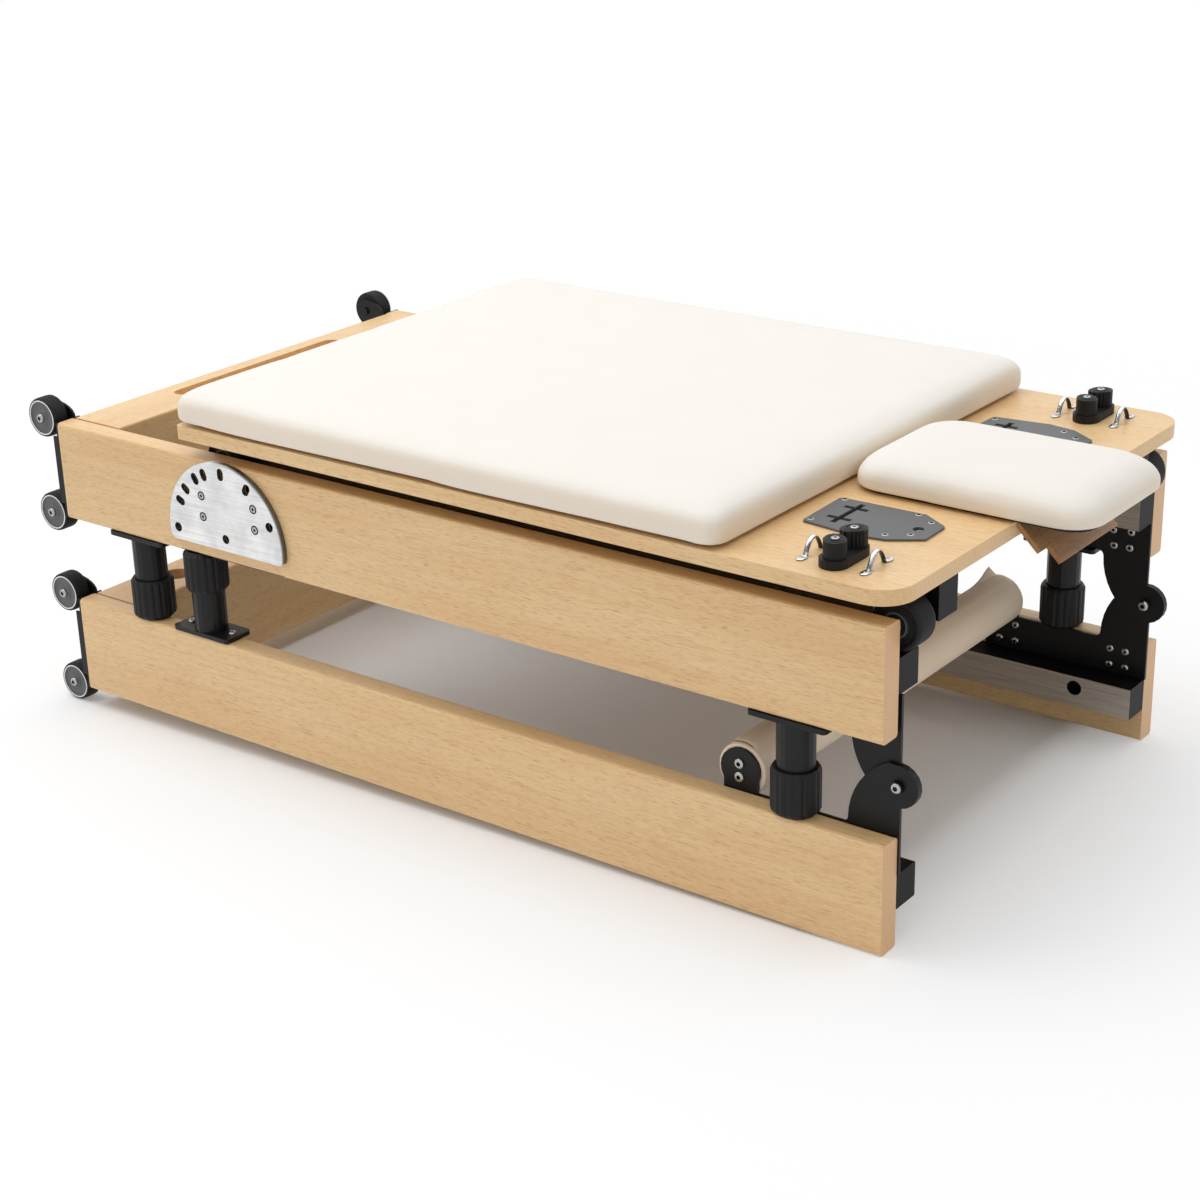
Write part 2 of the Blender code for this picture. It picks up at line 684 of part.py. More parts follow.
def leveller_mesh(build):
    """The ribbed foot that slides over a leg's tube, standing on the origin."""
    bore = LEG_RADIUS + SLIDING_FIT
    shoulder = LEVELLER_RADIUS - LEVELLER_RIM / 3
    profile = (
        (bore, LEVELLER_HEIGHT), (shoulder - LEVELLER_RIM / 3, LEVELLER_HEIGHT),
        (LEVELLER_RADIUS, LEVELLER_HEIGHT - LEVELLER_RIM), (LEVELLER_RADIUS, LEVELLER_EDGE),
        (LEVELLER_RADIUS - LEVELLER_EDGE, 0.0), (0.0, 0.0), (0.0, LEVELLER_FLOOR), (bore, LEVELLER_FLOOR),
    )
    steps = 3 * LEVELLER_RIBS
    mesh = turned(build, profile, steps)
    ribbed = LEVELLER_RADIUS - CLEAR
    for vertex in mesh.vertices:
        radius = math.hypot(vertex.co.x, vertex.co.y)
        index = round(math.atan2(vertex.co.y, vertex.co.x) / math.tau * steps)
        if radius > ribbed and index % 3 == 0:
            vertex.co.x *= 1 - LEVELLER_RIB_DEPTH / radius
            vertex.co.y *= 1 - LEVELLER_RIB_DEPTH / radius
    return mesh


def add_legs(build, foot, head):
    """Four legs under the foot half and two on the head half, which points up while folded."""
    post = leg_post_mesh(build)
    leveller = leveller_mesh(build)
    flipped = (math.pi, 0, 0)
    for side_name, side in SIDES:
        y = side * LEG_Y
        for place, x in zip(("end", "hinge"), FOOT_LEGS_X):
            build.part(f"foot_leg_{place}_{side_name}", post, "black_steel", foot,
                       (x, y, FOOT_BOTTOM - CLEAR))
            build.part(f"foot_leveller_{place}_{side_name}", leveller, "plastic", foot,
                       (x, y, HEAD_TOP + CLEAR))
        build.part(f"head_leg_{side_name}", post, "black_steel", head,
                   (HEAD_LEG_X, y, HEAD_TOP + CLEAR), flipped)
        build.part(f"head_leveller_{side_name}", leveller, "plastic", head,
                   (HEAD_LEG_X, y, FOOT_BOTTOM - CLEAR), flipped)


# Transport wheels

def wheel_bracket(build, side, end, axle_x, low, high):
    """Web on the end of the rail, the lugs beside the wheels, the outer lip and both axles."""
    web = side_box(side, (end - CLEAR - BRACKET_THICK, end - CLEAR), (RAIL_OUT - BRACKET_WIDTH, RAIL_OUT),
                   (low + CLEAR, high - CLEAR))
    web_middle = end - CLEAR - BRACKET_THICK / 2
    shoulder = [((web_middle - axle_x) * x, LUG_RADIUS * z) for x, z in arc((0, 0), 1, 90, 0, 6)]
    outline = [(axle_x + x, low + CLEAR - z) for x, z in reversed(shoulder[1:])]
    outline += arc((axle_x, low), LUG_RADIUS, -90, -270, 10)
    outline += [(end - CLEAR - LUG_NECK, low + LUG_RADIUS), (end - CLEAR - LUG_NECK, high - LUG_RADIUS)]
    outline += arc((axle_x, high), LUG_RADIUS, -90, -270, 10)
    outline += [(axle_x + x, high - CLEAR + z) for x, z in shoulder[1:]]
    lugs = plate(build, [outline], side * BRACKET_THICK, side * EAR_PLATE_Y, upright=True)
    lip = side_box(side, (end - LIP_DEPTH - BRACKET_THICK, web_middle),
                   (RAIL_OUT - BRACKET_THICK, RAIL_OUT - CLEAR), (low + LIP_FROM_AXLE, high - LIP_FROM_AXLE))
    bracket = build.join(web, lugs, lip)
    outside = WHEEL_Y + WHEEL_WIDTH / 2 + CLEAR
    for z in (low, high):
        nut = cylinder((axle_x, side * (EAR_PLATE_Y - AXLE_HEAD_THICK), z),
                       (axle_x, side * (EAR_PLATE_Y + BRACKET_THICK / 2), z), AXLE_HEAD_RADIUS, 6)
        pin = cylinder((axle_x, side * EAR_PLATE_Y, z),
                       (axle_x, side * (outside + AXLE_HEAD_THICK / 2), z), AXLE_RADIUS, PIN_STEPS)
        head = cylinder((axle_x, side * outside, z),
                        (axle_x, side * (outside + AXLE_HEAD_THICK), z), AXLE_HEAD_RADIUS, PIN_STEPS)
        bracket = build.join(bracket, nut, build.join(pin, head))
    return bracket


def transport_wheel_mesh(build):
    """A solid wheel with a dished outer face, turned about Z with its outer face up."""
    half = WHEEL_WIDTH / 2
    bore = AXLE_RADIUS + RUNNING_FIT
    dish = half - WHEEL_DISH
    profile = (
        (bore, half), (WHEEL_HUB_RADIUS, half), (WHEEL_HUB_RADIUS + WHEEL_DISH / 2, dish),
        (WHEEL_RING_RADIUS - WHEEL_DISH, dish), (WHEEL_RING_RADIUS, half),
        (WHEEL_RADIUS - WHEEL_EDGE, half), (WHEEL_RADIUS, half - WHEEL_EDGE),
        (WHEEL_RADIUS, WHEEL_EDGE - half), (WHEEL_RADIUS - WHEEL_EDGE, -half), (bore, -half),
    )
    return turned(build, profile, WHEEL_STEPS)


def add_transport_wheels(build, foot, head):
    wheel = transport_wheel_mesh(build)
    halves = (("foot", foot, FOOT_LEFT, FOOT_AXLE_X, FOOT_BOTTOM, FOOT_TOP),
              ("head", head, HEAD_LEFT, HEAD_AXLE_X, 0.0, HEAD_TOP))
    for half, holder, end, axle_x, low, high in halves:
        for side_name, side in SIDES:
            bracket = wheel_bracket(build, side, end, axle_x, low, high)
            build.part(f"{half}_wheel_bracket_{side_name}", bracket, "black_steel", holder)
            for level, z in (("low", low), ("high", high)):
                build.part(f"{half}_wheel_{level}_{side_name}", wheel, "rubber", holder,
                           (axle_x, side * WHEEL_Y, z), (-side * math.pi / 2, 0, 0))


# Footbar plates

def footbar_outlines():
    """A disc cut by a chord, with radial slots for the bar's positions round its rim."""
    middle = (FOOTBAR_X, FOOT_BOTTOM + FOOTBAR_ABOVE_RAIL)
    chord = -FOOTBAR_CHORD
    corner = FOOTBAR_CORNER
    inner = FOOTBAR_RADIUS - corner
    rise = corner + chord
    corner_x = math.sqrt(inner ** 2 - rise ** 2)
    meets = math.degrees(math.atan2(rise, corner_x))
    outline = arc(middle, FOOTBAR_RADIUS, meets, 180 - meets, 28)
    outline += arc((middle[0] - corner_x, middle[1] + rise), corner, 180 - meets, 270, 4)
    outline += arc((middle[0] + corner_x, middle[1] + rise), corner, 270, 360 + meets, 4)[:-1]

    def on_ring(angle):
        heading = math.radians(angle)
        return (middle[0] + FOOTBAR_SLOT_RING * math.cos(heading),
                middle[1] + FOOTBAR_SLOT_RING * math.sin(heading))

    holes = [slot(on_ring(a), FOOTBAR_SLOT_LENGTH, FOOTBAR_SLOT_WIDTH, a) for a in FOOTBAR_SLOT_ANGLES]
    lock = FOOTBAR_LOCK_ANGLE
    holes.append(slot(on_ring(lock), FOOTBAR_SLOT_LENGTH, FOOTBAR_LOCK_WIDTH, lock))
    holes += [circle(on_ring(a), FOOTBAR_HOLE_RADIUS, PIN_STEPS) for a in FOOTBAR_HOLE_ANGLES]
    holes.append(circle(middle, FOOTBAR_AXLE_HOLE_RADIUS, PIN_STEPS))
    return [outline] + holes


def footbar_pockets(build, side):
    """Pockets in a rail behind the holes of its footbar plate."""
    start = side * (RAIL_OUT + CLEAR)
    depth = side * (FOOTBAR_POCKET_DEPTH + CLEAR)
    return [plate(build, [hole], -depth, start, upright=True) for hole in footbar_outlines()[1:]]


def add_footbar_plates(build, foot):
    outlines = footbar_outlines()
    for side_name, side in SIDES:
        mesh = plate(build, outlines, side * FOOTBAR_THICK, side * (RAIL_OUT + CLEAR), upright=True)
        build.part(f"footbar_plate_{side_name}", mesh, "bright_steel", foot)


# Carriage

def add_board(build, carriage):
    corners = (
        (BOARD_LEFT, -BOARD_EDGE, BOARD_SMALL_CORNER), (BOARD_RIGHT, -BOARD_EDGE, BOARD_CORNER),
        (BOARD_RIGHT, BOARD_EDGE, BOARD_CORNER), (BOARD_LEFT, BOARD_EDGE, BOARD_SMALL_CORNER),
    )
    board = plate(build, [rounded(corners, 2 * CORNER_STEPS)], BOARD_THICK, BOARD_BOTTOM)
    build.part("carriage_board", eased(build, board, BOARD_EASE), "oak", carriage)


def add_underframe(build, carriage):
    """Two tubes under the board, the cross tubes between them and the four wheel axles."""
    left = BOARD_LEFT + TUBE_INSET
    right = BOARD_RIGHT - TUBE_INSET
    top = BOARD_BOTTOM - CLEAR
    levels = (top - TUBE_HEIGHT, top)
    inner = TUBE_OUTER_Y - TUBE_WIDTH
    frame = None
    for _, side in SIDES:
        tube = side_box(side, (left, right), (inner, TUBE_OUTER_Y), levels, TUBE_EASE, along=0)
        frame = tube if frame is None else build.join(frame, tube)
    overlap = TUBE_EASE + CLEAR
    for middle in (left + CROSS_TUBE_FROM_END, right - CROSS_TUBE_FROM_END):
        cross = box((middle - TUBE_WIDTH / 2, -inner - overlap, levels[0] + TUBE_EASE),
                    (middle + TUBE_WIDTH / 2, inner + overlap, levels[1] - TUBE_EASE))
        frame = build.join(frame, cross)
    outside = CARRIAGE_WHEEL_Y + CARRIAGE_WHEEL_WIDTH / 2 + CLEAR
    spacer_end = CARRIAGE_WHEEL_Y - CARRIAGE_WHEEL_WIDTH / 2 - CLEAR
    for _, side in SIDES:
        for x in carriage_wheel_xs():
            z = CARRIAGE_AXLE_Z
            pin = cylinder((x, side * (TUBE_OUTER_Y - TUBE_EASE), z),
                           (x, side * (outside + AXLE_HEAD_THICK / 2), z), CARRIAGE_AXLE_RADIUS, PIN_STEPS)
            spacer = cylinder((x, side * (TUBE_OUTER_Y - TUBE_EASE), z), (x, side * spacer_end, z),
                              CARRIAGE_AXLE_HEAD, PIN_STEPS)
            head = cylinder((x, side * outside, z), (x, side * (outside + AXLE_HEAD_THICK), z),
                            CARRIAGE_AXLE_HEAD, PIN_STEPS)
            frame = build.join(frame, build.join(pin, spacer, head))
    build.part("carriage_underframe", frame, "black_steel", carriage)


def carriage_wheel_xs():
    return (BOARD_LEFT + CARRIAGE_WHEEL_FROM_END, BOARD_RIGHT - CARRIAGE_WHEEL_FROM_END)


def add_carriage_wheels(build, carriage):
    half = CARRIAGE_WHEEL_WIDTH / 2
    bore = CARRIAGE_AXLE_RADIUS + RUNNING_FIT
    step = WHEEL_EDGE / 3
    profile = (
        (bore, half), (CARRIAGE_WHEEL_RING - step, half), (CARRIAGE_WHEEL_RING, half - step),
        (CARRIAGE_WHEEL_RADIUS - WHEEL_EDGE, half - step), (CARRIAGE_WHEEL_RADIUS, half - WHEEL_EDGE),
        (CARRIAGE_WHEEL_RADIUS, WHEEL_EDGE - half), (CARRIAGE_WHEEL_RADIUS - WHEEL_EDGE, -half),
        (bore, -half),
    )
    wheel = turned(build, profile, WHEEL_STEPS)
    for side_name, side in SIDES:
        for place, x in zip(("foot", "head"), carriage_wheel_xs()):
            build.part(f"carriage_wheel_{place}_{side_name}", wheel, "rubber", carriage,
                       (x, side * CARRIAGE_WHEEL_Y, CARRIAGE_AXLE_Z), (-side * math.pi / 2, 0, 0))


def add_cushion(build, carriage):
    start = BOARD_LEFT - CUSHION_LEFT_OVERHANG
    mesh = pad((start, start + CUSHION_LENGTH), BOARD_EDGE + CUSHION_PAST_BOARD, ON_BOARD,
               CUSHION_CORNER, CUSHION_LAYERS)
    build.part("carriage_cushion", mesh, "leather", carriage)


def shoulder_slot_outline():
    """Two crossed slots joined by one bar across, as one hole."""
    half_width = SHOULDER_SLOT_WIDTH / 2
    half_length = SHOULDER_SLOT_LENGTH / 2
    rows = SHOULDER_SLOT_Y
    start = rows[0] - half_length
    end = rows[1] + half_length
    right = [(half_width, start)]
    for row in rows:
        right += [(half_width, row - half_width), (half_length, row - half_width),
                  (half_length, row + half_width), (half_width, row + half_width)]
    right.append((half_width, end))
    left = [(-x, y) for x, y in reversed(right)]
    return [(BOARD_RIGHT + SHOULDER_SLOT_X + x, y) for x, y in right + left]


def add_shoulder_plates(build, carriage):
    corners = [(BOARD_RIGHT + x, y, SHOULDER_CORNER) for x, y in SHOULDER_OUTLINE]
    hole = circle((BOARD_RIGHT + SHOULDER_HOLE[0], SHOULDER_HOLE[1]), SHOULDER_HOLE_RADIUS, PIN_STEPS)
    outlines = [rounded(corners), hole, shoulder_slot_outline()]
    for side_name, side in SIDES:
        sided = [[(x, side * y) for x, y in outline] for outline in outlines]
        mesh = plate(build, sided, SHOULDER_THICK, ON_BOARD)
        build.part(f"shoulder_plate_{side_name}", mesh, "grey_steel", carriage)


# Cam cleats

def cam_mesh(build, channel):
    """A cam that bulges towards the rope channel, toothed on that side, standing on the origin."""
    outline = []
    count = 2 * CAM_TEETH
    first, last = CAM_TOOTHED
    for i in range(count):
        degrees = 360 * i / count
        bulge = max(0.0, math.cos(math.radians(degrees - CAM_BULGE_ANGLE)))
        radius = CAM_RADIUS + CAM_BULGE * bulge ** 3
        if first < degrees < last:
            radius -= CAM_TOOTH_DEPTH * (i % 2)
        angle = math.radians(degrees)
        outline.append((radius * math.cos(angle), channel * radius * math.sin(angle)))
    bore = circle((0, 0), CAM_PIN_RADIUS + RUNNING_FIT, PIN_STEPS)
    return plate(build, [outline, bore], CAM_HEIGHT, 0.0)


def add_cleats(build, carriage):
    """A base on each side of the board with two toothed cams on pins."""
    top = ON_BOARD + CLEAT_THICK
    base_x = BOARD_RIGHT - CLEAT_FROM_END
    cam_x = BOARD_RIGHT - CAM_FROM_END
    cam_ys = [CLEAT_Y - CAM_OFF_MIDDLE + k * CAM_SPACING / 2 for k in (-1, 1)]
    for side_name, side in SIDES:
        stadium = slot((base_x, side * CLEAT_Y), CLEAT_LENGTH, CLEAT_WIDTH, 90)
        base = plate(build, [stadium], CLEAT_THICK, ON_BOARD)
        cap_low = top + CAM_HEIGHT + 2 * CLEAR
        for y in cam_ys:
            pin = cylinder((cam_x, side * y, top - CLEAT_THICK / 2),
                           (cam_x, side * y, cap_low + CAM_CAP_THICK / 2), CAM_PIN_RADIUS, PIN_STEPS)
            cap = cylinder((cam_x, side * y, cap_low), (cam_x, side * y, cap_low + CAM_CAP_THICK),
                           CAM_CAP_RADIUS, PIN_STEPS)
            base = build.join(base, build.join(pin, cap))
        build.part(f"cleat_base_{side_name}", base, "plastic", carriage)
        for place, y, channel in zip(("inner", "outer"), cam_ys, (side, -side)):
            build.part(f"cleat_cam_{place}_{side_name}", cam_mesh(build, channel), "plastic", carriage,
                       (cam_x, side * y, top + CLEAR))


# Headrest

def add_headrest(build, carriage):
    """A pad on a thin board that is hinged to the carriage at its cushion end."""
    inset = HEADREST_BOARD_INSET
    left = HEADREST_X + inset
    right = HEADREST_RIGHT - inset
    half = HEADREST_WIDTH / 2 - inset
    holder = build.holder("headrest_hinge", (left, 0, ON_BOARD), carriage)
    outline = rectangle((left, right), (-half, half), HEADREST_CORNER - inset)
    build.part("headrest_board", plate(build, [outline], HEADREST_BOARD_THICK, ON_BOARD), "black_steel",
               holder)
    mesh = pad((HEADREST_X, HEADREST_RIGHT), HEADREST_WIDTH / 2,
               ON_BOARD + HEADREST_BOARD_THICK + PAD_LIFT, HEADREST_CORNER, HEADREST_LAYERS)
    build.part("headrest_pad", mesh, "leather", holder)
    add_prop(build, holder)


def add_prop(build, holder):
    """The stepped plank under the headrest, with its origin on its own hinge line."""
    hinge = (BOARD_RIGHT + PROP_HINGE_GAP, 0, ON_BOARD - 2 * CLEAR)
    wide, narrow = PROP_WIDTH / 2, PROP_TONGUE_WIDTH / 2
    outline = [(-PROP_THICK, -wide), (PROP_SHOULDER, -wide), (PROP_SHOULDER, -narrow),
               (PROP_LENGTH, -narrow), (PROP_LENGTH, narrow), (PROP_SHOULDER, narrow),
               (PROP_SHOULDER, wide), (-PROP_THICK, wide)]
    plank = plate(build, [outline], PROP_THICK, -PROP_THICK)
    plank.transform(Matrix.Rotation(PROP_SLOPE, 4, "Y"))
    past = 2 * PROP_LENGTH
    behind_board = box((-past, -past, -past), (CLEAR - PROP_HINGE_GAP, past, past))
    above_hinge = box((-past, -past, 0), (past, past, past))
    plank = build.cut(plank, behind_board, above_hinge)
    build.part("headrest_prop", plank, "brown_wood", holder, hinge)


def shade_pieces(build):
    """Round pieces are shaded smooth and keep their sharp edges."""
    for piece in build.parts.objects:
        if piece.type == "MESH":
            piece.data.shade_smooth()
            piece.data.set_sharp_from_angle(angle=math.radians(35))


def main():
    clear_scene()
    build = Build()
    stand = build.holder("standing_tilt", (0, 0, 0))
    stand.location = STAND
    stand.rotation_euler = (0, TILT, 0)
    foot = build.holder("foot_half", (0, 0, 0), stand)
    head = build.holder("fold_hinge", PIVOT, foot)
    carriage = build.holder("carriage", (BOARD_LEFT, 0, BOARD_BOTTOM), foot)
    add_rails_and_block(build, "foot", foot, FOOT_LEFT, FOOT_BOTTOM)
    add_rails_and_block(build, "head", head, HEAD_LEFT, 0.0)
    add_tracks(build, "foot", foot, FOOT_LEFT, TRACK_TOP - TRACK_HEIGHT, -TRACK_HOLE_OFF_CENTRE)
    add_tracks(build, "head", head, HEAD_LEFT, TRACK_DROP, TRACK_HOLE_OFF_CENTRE)
    add_hinge_plates(build, foot, head)
    add_padded_bar(build, head)
    add_legs(build, foot, head)
    add_transport_wheels(build, foot, head)
    add_footbar_plates(build, foot)
    add_board(build, carriage)
    add_underframe(build, carriage)
    add_carriage_wheels(build, carriage)
    add_cushion(build, carriage)
    add_shoulder_plates(build, carriage)
    add_cleats(build, carriage)
    add_headrest(build, carriage)
    shade_pieces(build)


main()
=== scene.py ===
"""Dresses the folded pilates reformer: lacquered oak, cream leather cushions, powder-coated and
brushed steel, chrome and zinc hardware, and the studio that it stands in.

The machine is laid out level, as it was drawn: X runs towards the fold hinge, Y across, and Z up from
the underside of the lower half. Folded it leans a little, so every new point passes through
to_world().
"""

import json
import math

import bmesh
import bpy
import numpy as np
from bpy.props import FloatProperty, IntProperty, PointerProperty, StringProperty
from mathutils import Matrix


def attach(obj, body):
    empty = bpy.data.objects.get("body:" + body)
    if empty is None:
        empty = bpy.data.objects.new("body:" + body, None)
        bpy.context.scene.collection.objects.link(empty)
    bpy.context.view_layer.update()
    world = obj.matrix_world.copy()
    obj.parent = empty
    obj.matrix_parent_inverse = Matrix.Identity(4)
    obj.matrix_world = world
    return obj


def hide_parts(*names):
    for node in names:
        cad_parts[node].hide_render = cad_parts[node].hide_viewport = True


bl_info = {
    "name": "Folding reformer dressing",
    "version": (1, 0, 0),
    "blender": (4, 5, 0),
    "location": "3D View > Sidebar > Reformer",
    "description": "Materials, cushions, hardware and studio for the folded reformer",
    "category": "Object",
}

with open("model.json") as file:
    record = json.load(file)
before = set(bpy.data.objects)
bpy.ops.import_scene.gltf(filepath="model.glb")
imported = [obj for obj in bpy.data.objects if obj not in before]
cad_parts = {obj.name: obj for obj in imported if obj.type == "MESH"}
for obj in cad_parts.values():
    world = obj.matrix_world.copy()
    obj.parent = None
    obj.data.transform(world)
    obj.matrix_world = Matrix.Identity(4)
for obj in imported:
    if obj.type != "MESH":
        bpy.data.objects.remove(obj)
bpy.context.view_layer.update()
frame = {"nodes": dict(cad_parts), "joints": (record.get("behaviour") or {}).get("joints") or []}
JOINTS = {joint["name"]: joint for joint in frame["joints"]}
SIDES = (("near", -1), ("far", 1))
UP = (0, 0, 1)

# The lean of the folded machine, from the carriage's way and the fold hinge's place
RUN = JOINTS["carriage_slide"]["axis"]
LEAN = math.atan2(-RUN[2], RUN[0])
TURN = np.array(Matrix.Rotation(LEAN, 3, "Y"))
FOLD_PIVOT = (0.6367, 0.193)  # X and Z in the level layout
SHIFT = np.array(JOINTS["fold_hinge"]["pos_m"]) - TURN @ (FOLD_PIVOT[0], 0.0, FOLD_PIVOT[1])

FOOTBAR_CENTRE = (-0.3224, 0.0, 0.287)
FOOTBAR_RADIUS = 0.1015
POCKET_RADIUS = FOOTBAR_RADIUS - 0.003
POCKET_DEPTH = 0.0135
RAIL_FACE = 0.34  # outer faces of the side rails, to both sides
CLEAT_LINE = 0.2908  # Y of the rope's way through the cleat and its guides


def to_world(points):
    """Points of the level layout, turned by the lean about Y and moved to where the machine stands."""
    return np.asarray(points, float) @ TURN.T + SHIFT


def to_level(points):
    """The way back from to_world()."""
    return (points - SHIFT) @ TURN


def points_of(mesh):
    points = np.zeros(len(mesh.vertices) * 3)
    mesh.vertices.foreach_get("co", points)
    return points.reshape(-1, 3)


def set_points(mesh, points):
    mesh.vertices.foreach_set("co", points.astype(np.float32).ravel())
    mesh.update()


def level_box(node):
    """Lowest and highest corner of a CAD node in the level layout."""
    level = to_level(points_of(frame["nodes"][node].data))
    return level.min(0), level.max(0)


def level_middle(node):
    return sum(level_box(node)) / 2


def y_faces(node):
    """How far the inner and outer faces of a node at one side are from the machine's middle plane."""
    low, high = level_box(node)
    return sorted((abs(low[1]), abs(high[1])))


# Surfaces. Each is a pair: an array of points, and an array of four-cornered faces.

def quads(rows, columns, close_rows=False, close_columns=False):
    """Faces of a grid whose point (row, column) is number row * columns + column."""
    row, column = np.meshgrid(np.arange(rows if close_rows else rows - 1),
                              np.arange(columns if close_columns else columns - 1), indexing="ij")
    next_row, next_column = (row + 1) % rows, (column + 1) % columns
    corners = (row * columns + column, row * columns + next_column,
               next_row * columns + next_column, next_row * columns + column)
    return np.stack(corners, -1).reshape(-1, 4)


def turned(profile, steps=48):
    """A profile of (radius, height) turned about Z: x = r cos t, y = r sin t, z = h."""
    radius, height = np.asarray(profile, float).T[:, :, None]
    angle = np.linspace(0, math.tau, steps, endpoint=False)[None]
    points = np.stack((radius * np.cos(angle), radius * np.sin(angle),
                       height + 0 * angle), -1).reshape(-1, 3)
    return points, quads(len(profile), steps, close_columns=True)


def swept(path, side, wide, deep, steps=16):
    """An ellipse carried along a path: p(s) + wide(s) cos t * side + deep(s) sin t * n(s), where n is
    square to the path and to side. Both ends close to a point."""
    path = np.asarray(path, float)
    along = np.gradient(path, axis=0)
    along /= np.linalg.norm(along, axis=1, keepdims=True)
    side = np.asarray(side, float)
    normal = np.cross(along, side)
    angle = np.linspace(0, math.tau, steps, endpoint=False)
    ring = (np.asarray(wide)[:, None, None] * np.cos(angle)[None, :, None] * side
            + np.asarray(deep)[:, None, None] * np.sin(angle)[None, :, None] * normal[:, None])
    points = (path[:, None] + ring).reshape(-1, 3)
    return points, quads(len(path), steps, close_columns=True)


def joined(*shapes):
    """Several shapes as one."""
    points, faces, start = [], [], 0
    for shape_points, shape_faces in shapes:
        points.append(shape_points)
        faces.append(shape_faces + start)
        start += len(shape_points)
    return np.concatenate(points), np.concatenate(faces)


def copies(shape, places, way=UP, spin=0.0):
    """A shape repeated at each place with its Z along way: p = place + x * side + y * up + z * way."""
    points, faces = shape
    way = np.asarray(way, float) / np.linalg.norm(way)
    side = np.cross((0.0, 0.0, 1.0) if abs(way[2]) < 0.9 else (1.0, 0.0, 0.0), way)
    side /= np.linalg.norm(side)
    up = np.cross(way, side)
    c, s = math.cos(spin), math.sin(spin)
    points = points @ np.array(((c, s, 0), (-s, c, 0), (0, 0, 1))) @ np.array((side, up, way))
    places = np.atleast_2d(np.asarray(places, float))
    starts = np.arange(len(places)) * len(points)
    return ((points[None] + places[:, None]).reshape(-1, 3),
            (faces[None] + starts[:, None, None]).reshape(-1, 4))


def lofted(rings, first, last):
    """Rings of points joined in their order, and closed to a point at both ends."""
    count = len(rings[0])
    points = np.concatenate((np.tile(first, (count, 1)), *rings, np.tile(last, (count, 1))))
    return points, quads(len(rings) + 2, count, close_columns=True)


def rounded_outline(x_range, y_range, radius, steps=10):
    """A rectangle whose corners are quarter circles, as points in XY going anticlockwise."""
    (x0, x1), (y0, y1) = x_range, y_range
    quarter = np.linspace(0, math.pi / 2, steps)
    corners = []
    for centre_x, centre_y, start in ((x1 - radius, y1 - radius, 0.0), (x0 + radius, y1 - radius, 0.5),
                                      (x0 + radius, y0 + radius, 1.0), (x1 - radius, y0 + radius, 1.5)):
        angle = quarter + start * math.pi
        corners.append(np.stack((centre_x + radius * np.cos(angle),
                                 centre_y + radius * np.sin(angle)), -1))
    return np.concatenate(corners)


def new_object(name, data, axes=None, place=(0.0, 0.0, 0.0)):
    """A new object in the scene; axes and place set where a camera or lamp stands."""
    made = bpy.data.objects.new(name, data)
    bpy.context.scene.collection.objects.link(made)
    if axes is not None:
        matrix = np.eye(4)
        matrix[:3, :3], matrix[:3, 3] = axes, place
        made.matrix_world = Matrix(matrix.tolist())
    return made


def new_mesh(name, points, faces, materials):
    """A mesh of world points with its materials."""
    mesh = bpy.data.meshes.new(name)
    mesh.from_pydata(points.tolist(), [], faces.tolist())
    for material in materials:
        mesh.materials.append(material)
    return mesh


def piece(name, shape, materials, body, picks=None, sharp=40.0):
    """A new piece of the machine from a shape of the level layout."""
    points, faces = shape
    mesh = new_mesh(name, to_world(points), faces, materials)
    if picks is not None:
        mesh.polygons.foreach_set("material_index", np.asarray(picks, np.int32))
    tidy(mesh)
    mesh.shade_smooth()
    mesh.set_sharp_from_angle(angle=math.radians(sharp))
    made = new_object(name, mesh)
    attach(made, body)
    return made


def tidy(mesh):
    """Closes seams and poles, and turns the faces outwards."""
    work = bmesh.new()
    work.from_mesh(mesh)
    bmesh.ops.remove_doubles(work, verts=work.verts, dist=1e-6)
    bmesh.ops.dissolve_degenerate(work, edges=work.edges, dist=1e-7)
    bmesh.ops.recalc_face_normals(work, faces=work.faces)
    work.to_mesh(mesh)
    work.free()


# Hardware shapes, all standing on their own XY plane

SCREW_STEPS = 24
SCREW_RINGS = 9
# Inside the socket the screw is drawn in painted shade
SOCKET_FIRST = 6  # the ring where the dark socket begins


def socket_screw(radius, rise, socket, depth):
    """A domed head with a six-sided socket, whose rim is r(t) = socket cos 30 / cos(t mod 60 - 30)."""
    angle = np.linspace(0, math.tau, SCREW_STEPS, endpoint=False)
    six = socket * math.cos(math.pi / 6) / np.cos(angle % (math.pi / 3) - math.pi / 6)
    ring = np.ones(SCREW_STEPS)
    radii = [radius * ring, radius * ring, 0.95 * radius * ring, 0.82 * radius * ring,
             (0.4 * radius + 0.6 * socket) * ring, six * 1.04, six, six * 0.9, 0 * ring]
    heights = (-0.0003, 0.3 * rise, 0.66 * rise, 0.92 * rise, rise, rise, 0.93 * rise,
               rise - depth, rise - depth)
    points = [np.stack((r * np.cos(angle), r * np.sin(angle), h * ring), -1)
              for r, h in zip(radii, heights)]
    return np.concatenate(points), quads(SCREW_RINGS, SCREW_STEPS, close_columns=True)


def socket_picks(shape):
    """Material numbers for copies of a socket screw: 0 on the head, 1 inside the socket, which is
    painted shade.
    """
    ring = (np.arange(len(shape[1])) // SCREW_STEPS) % (SCREW_RINGS - 1)
    return ring >= SOCKET_FIRST


# Materials

def linear(hex_colour):
    """An sRGB hex colour as the linear colour that a shader takes."""
    channels = np.array([int(hex_colour[i:i + 2], 16) for i in (0, 2, 4)]) / 255
    return (*np.where(channels <= 0.04045, channels / 12.92, ((channels + 0.055) / 1.055) ** 2.4), 1.0)


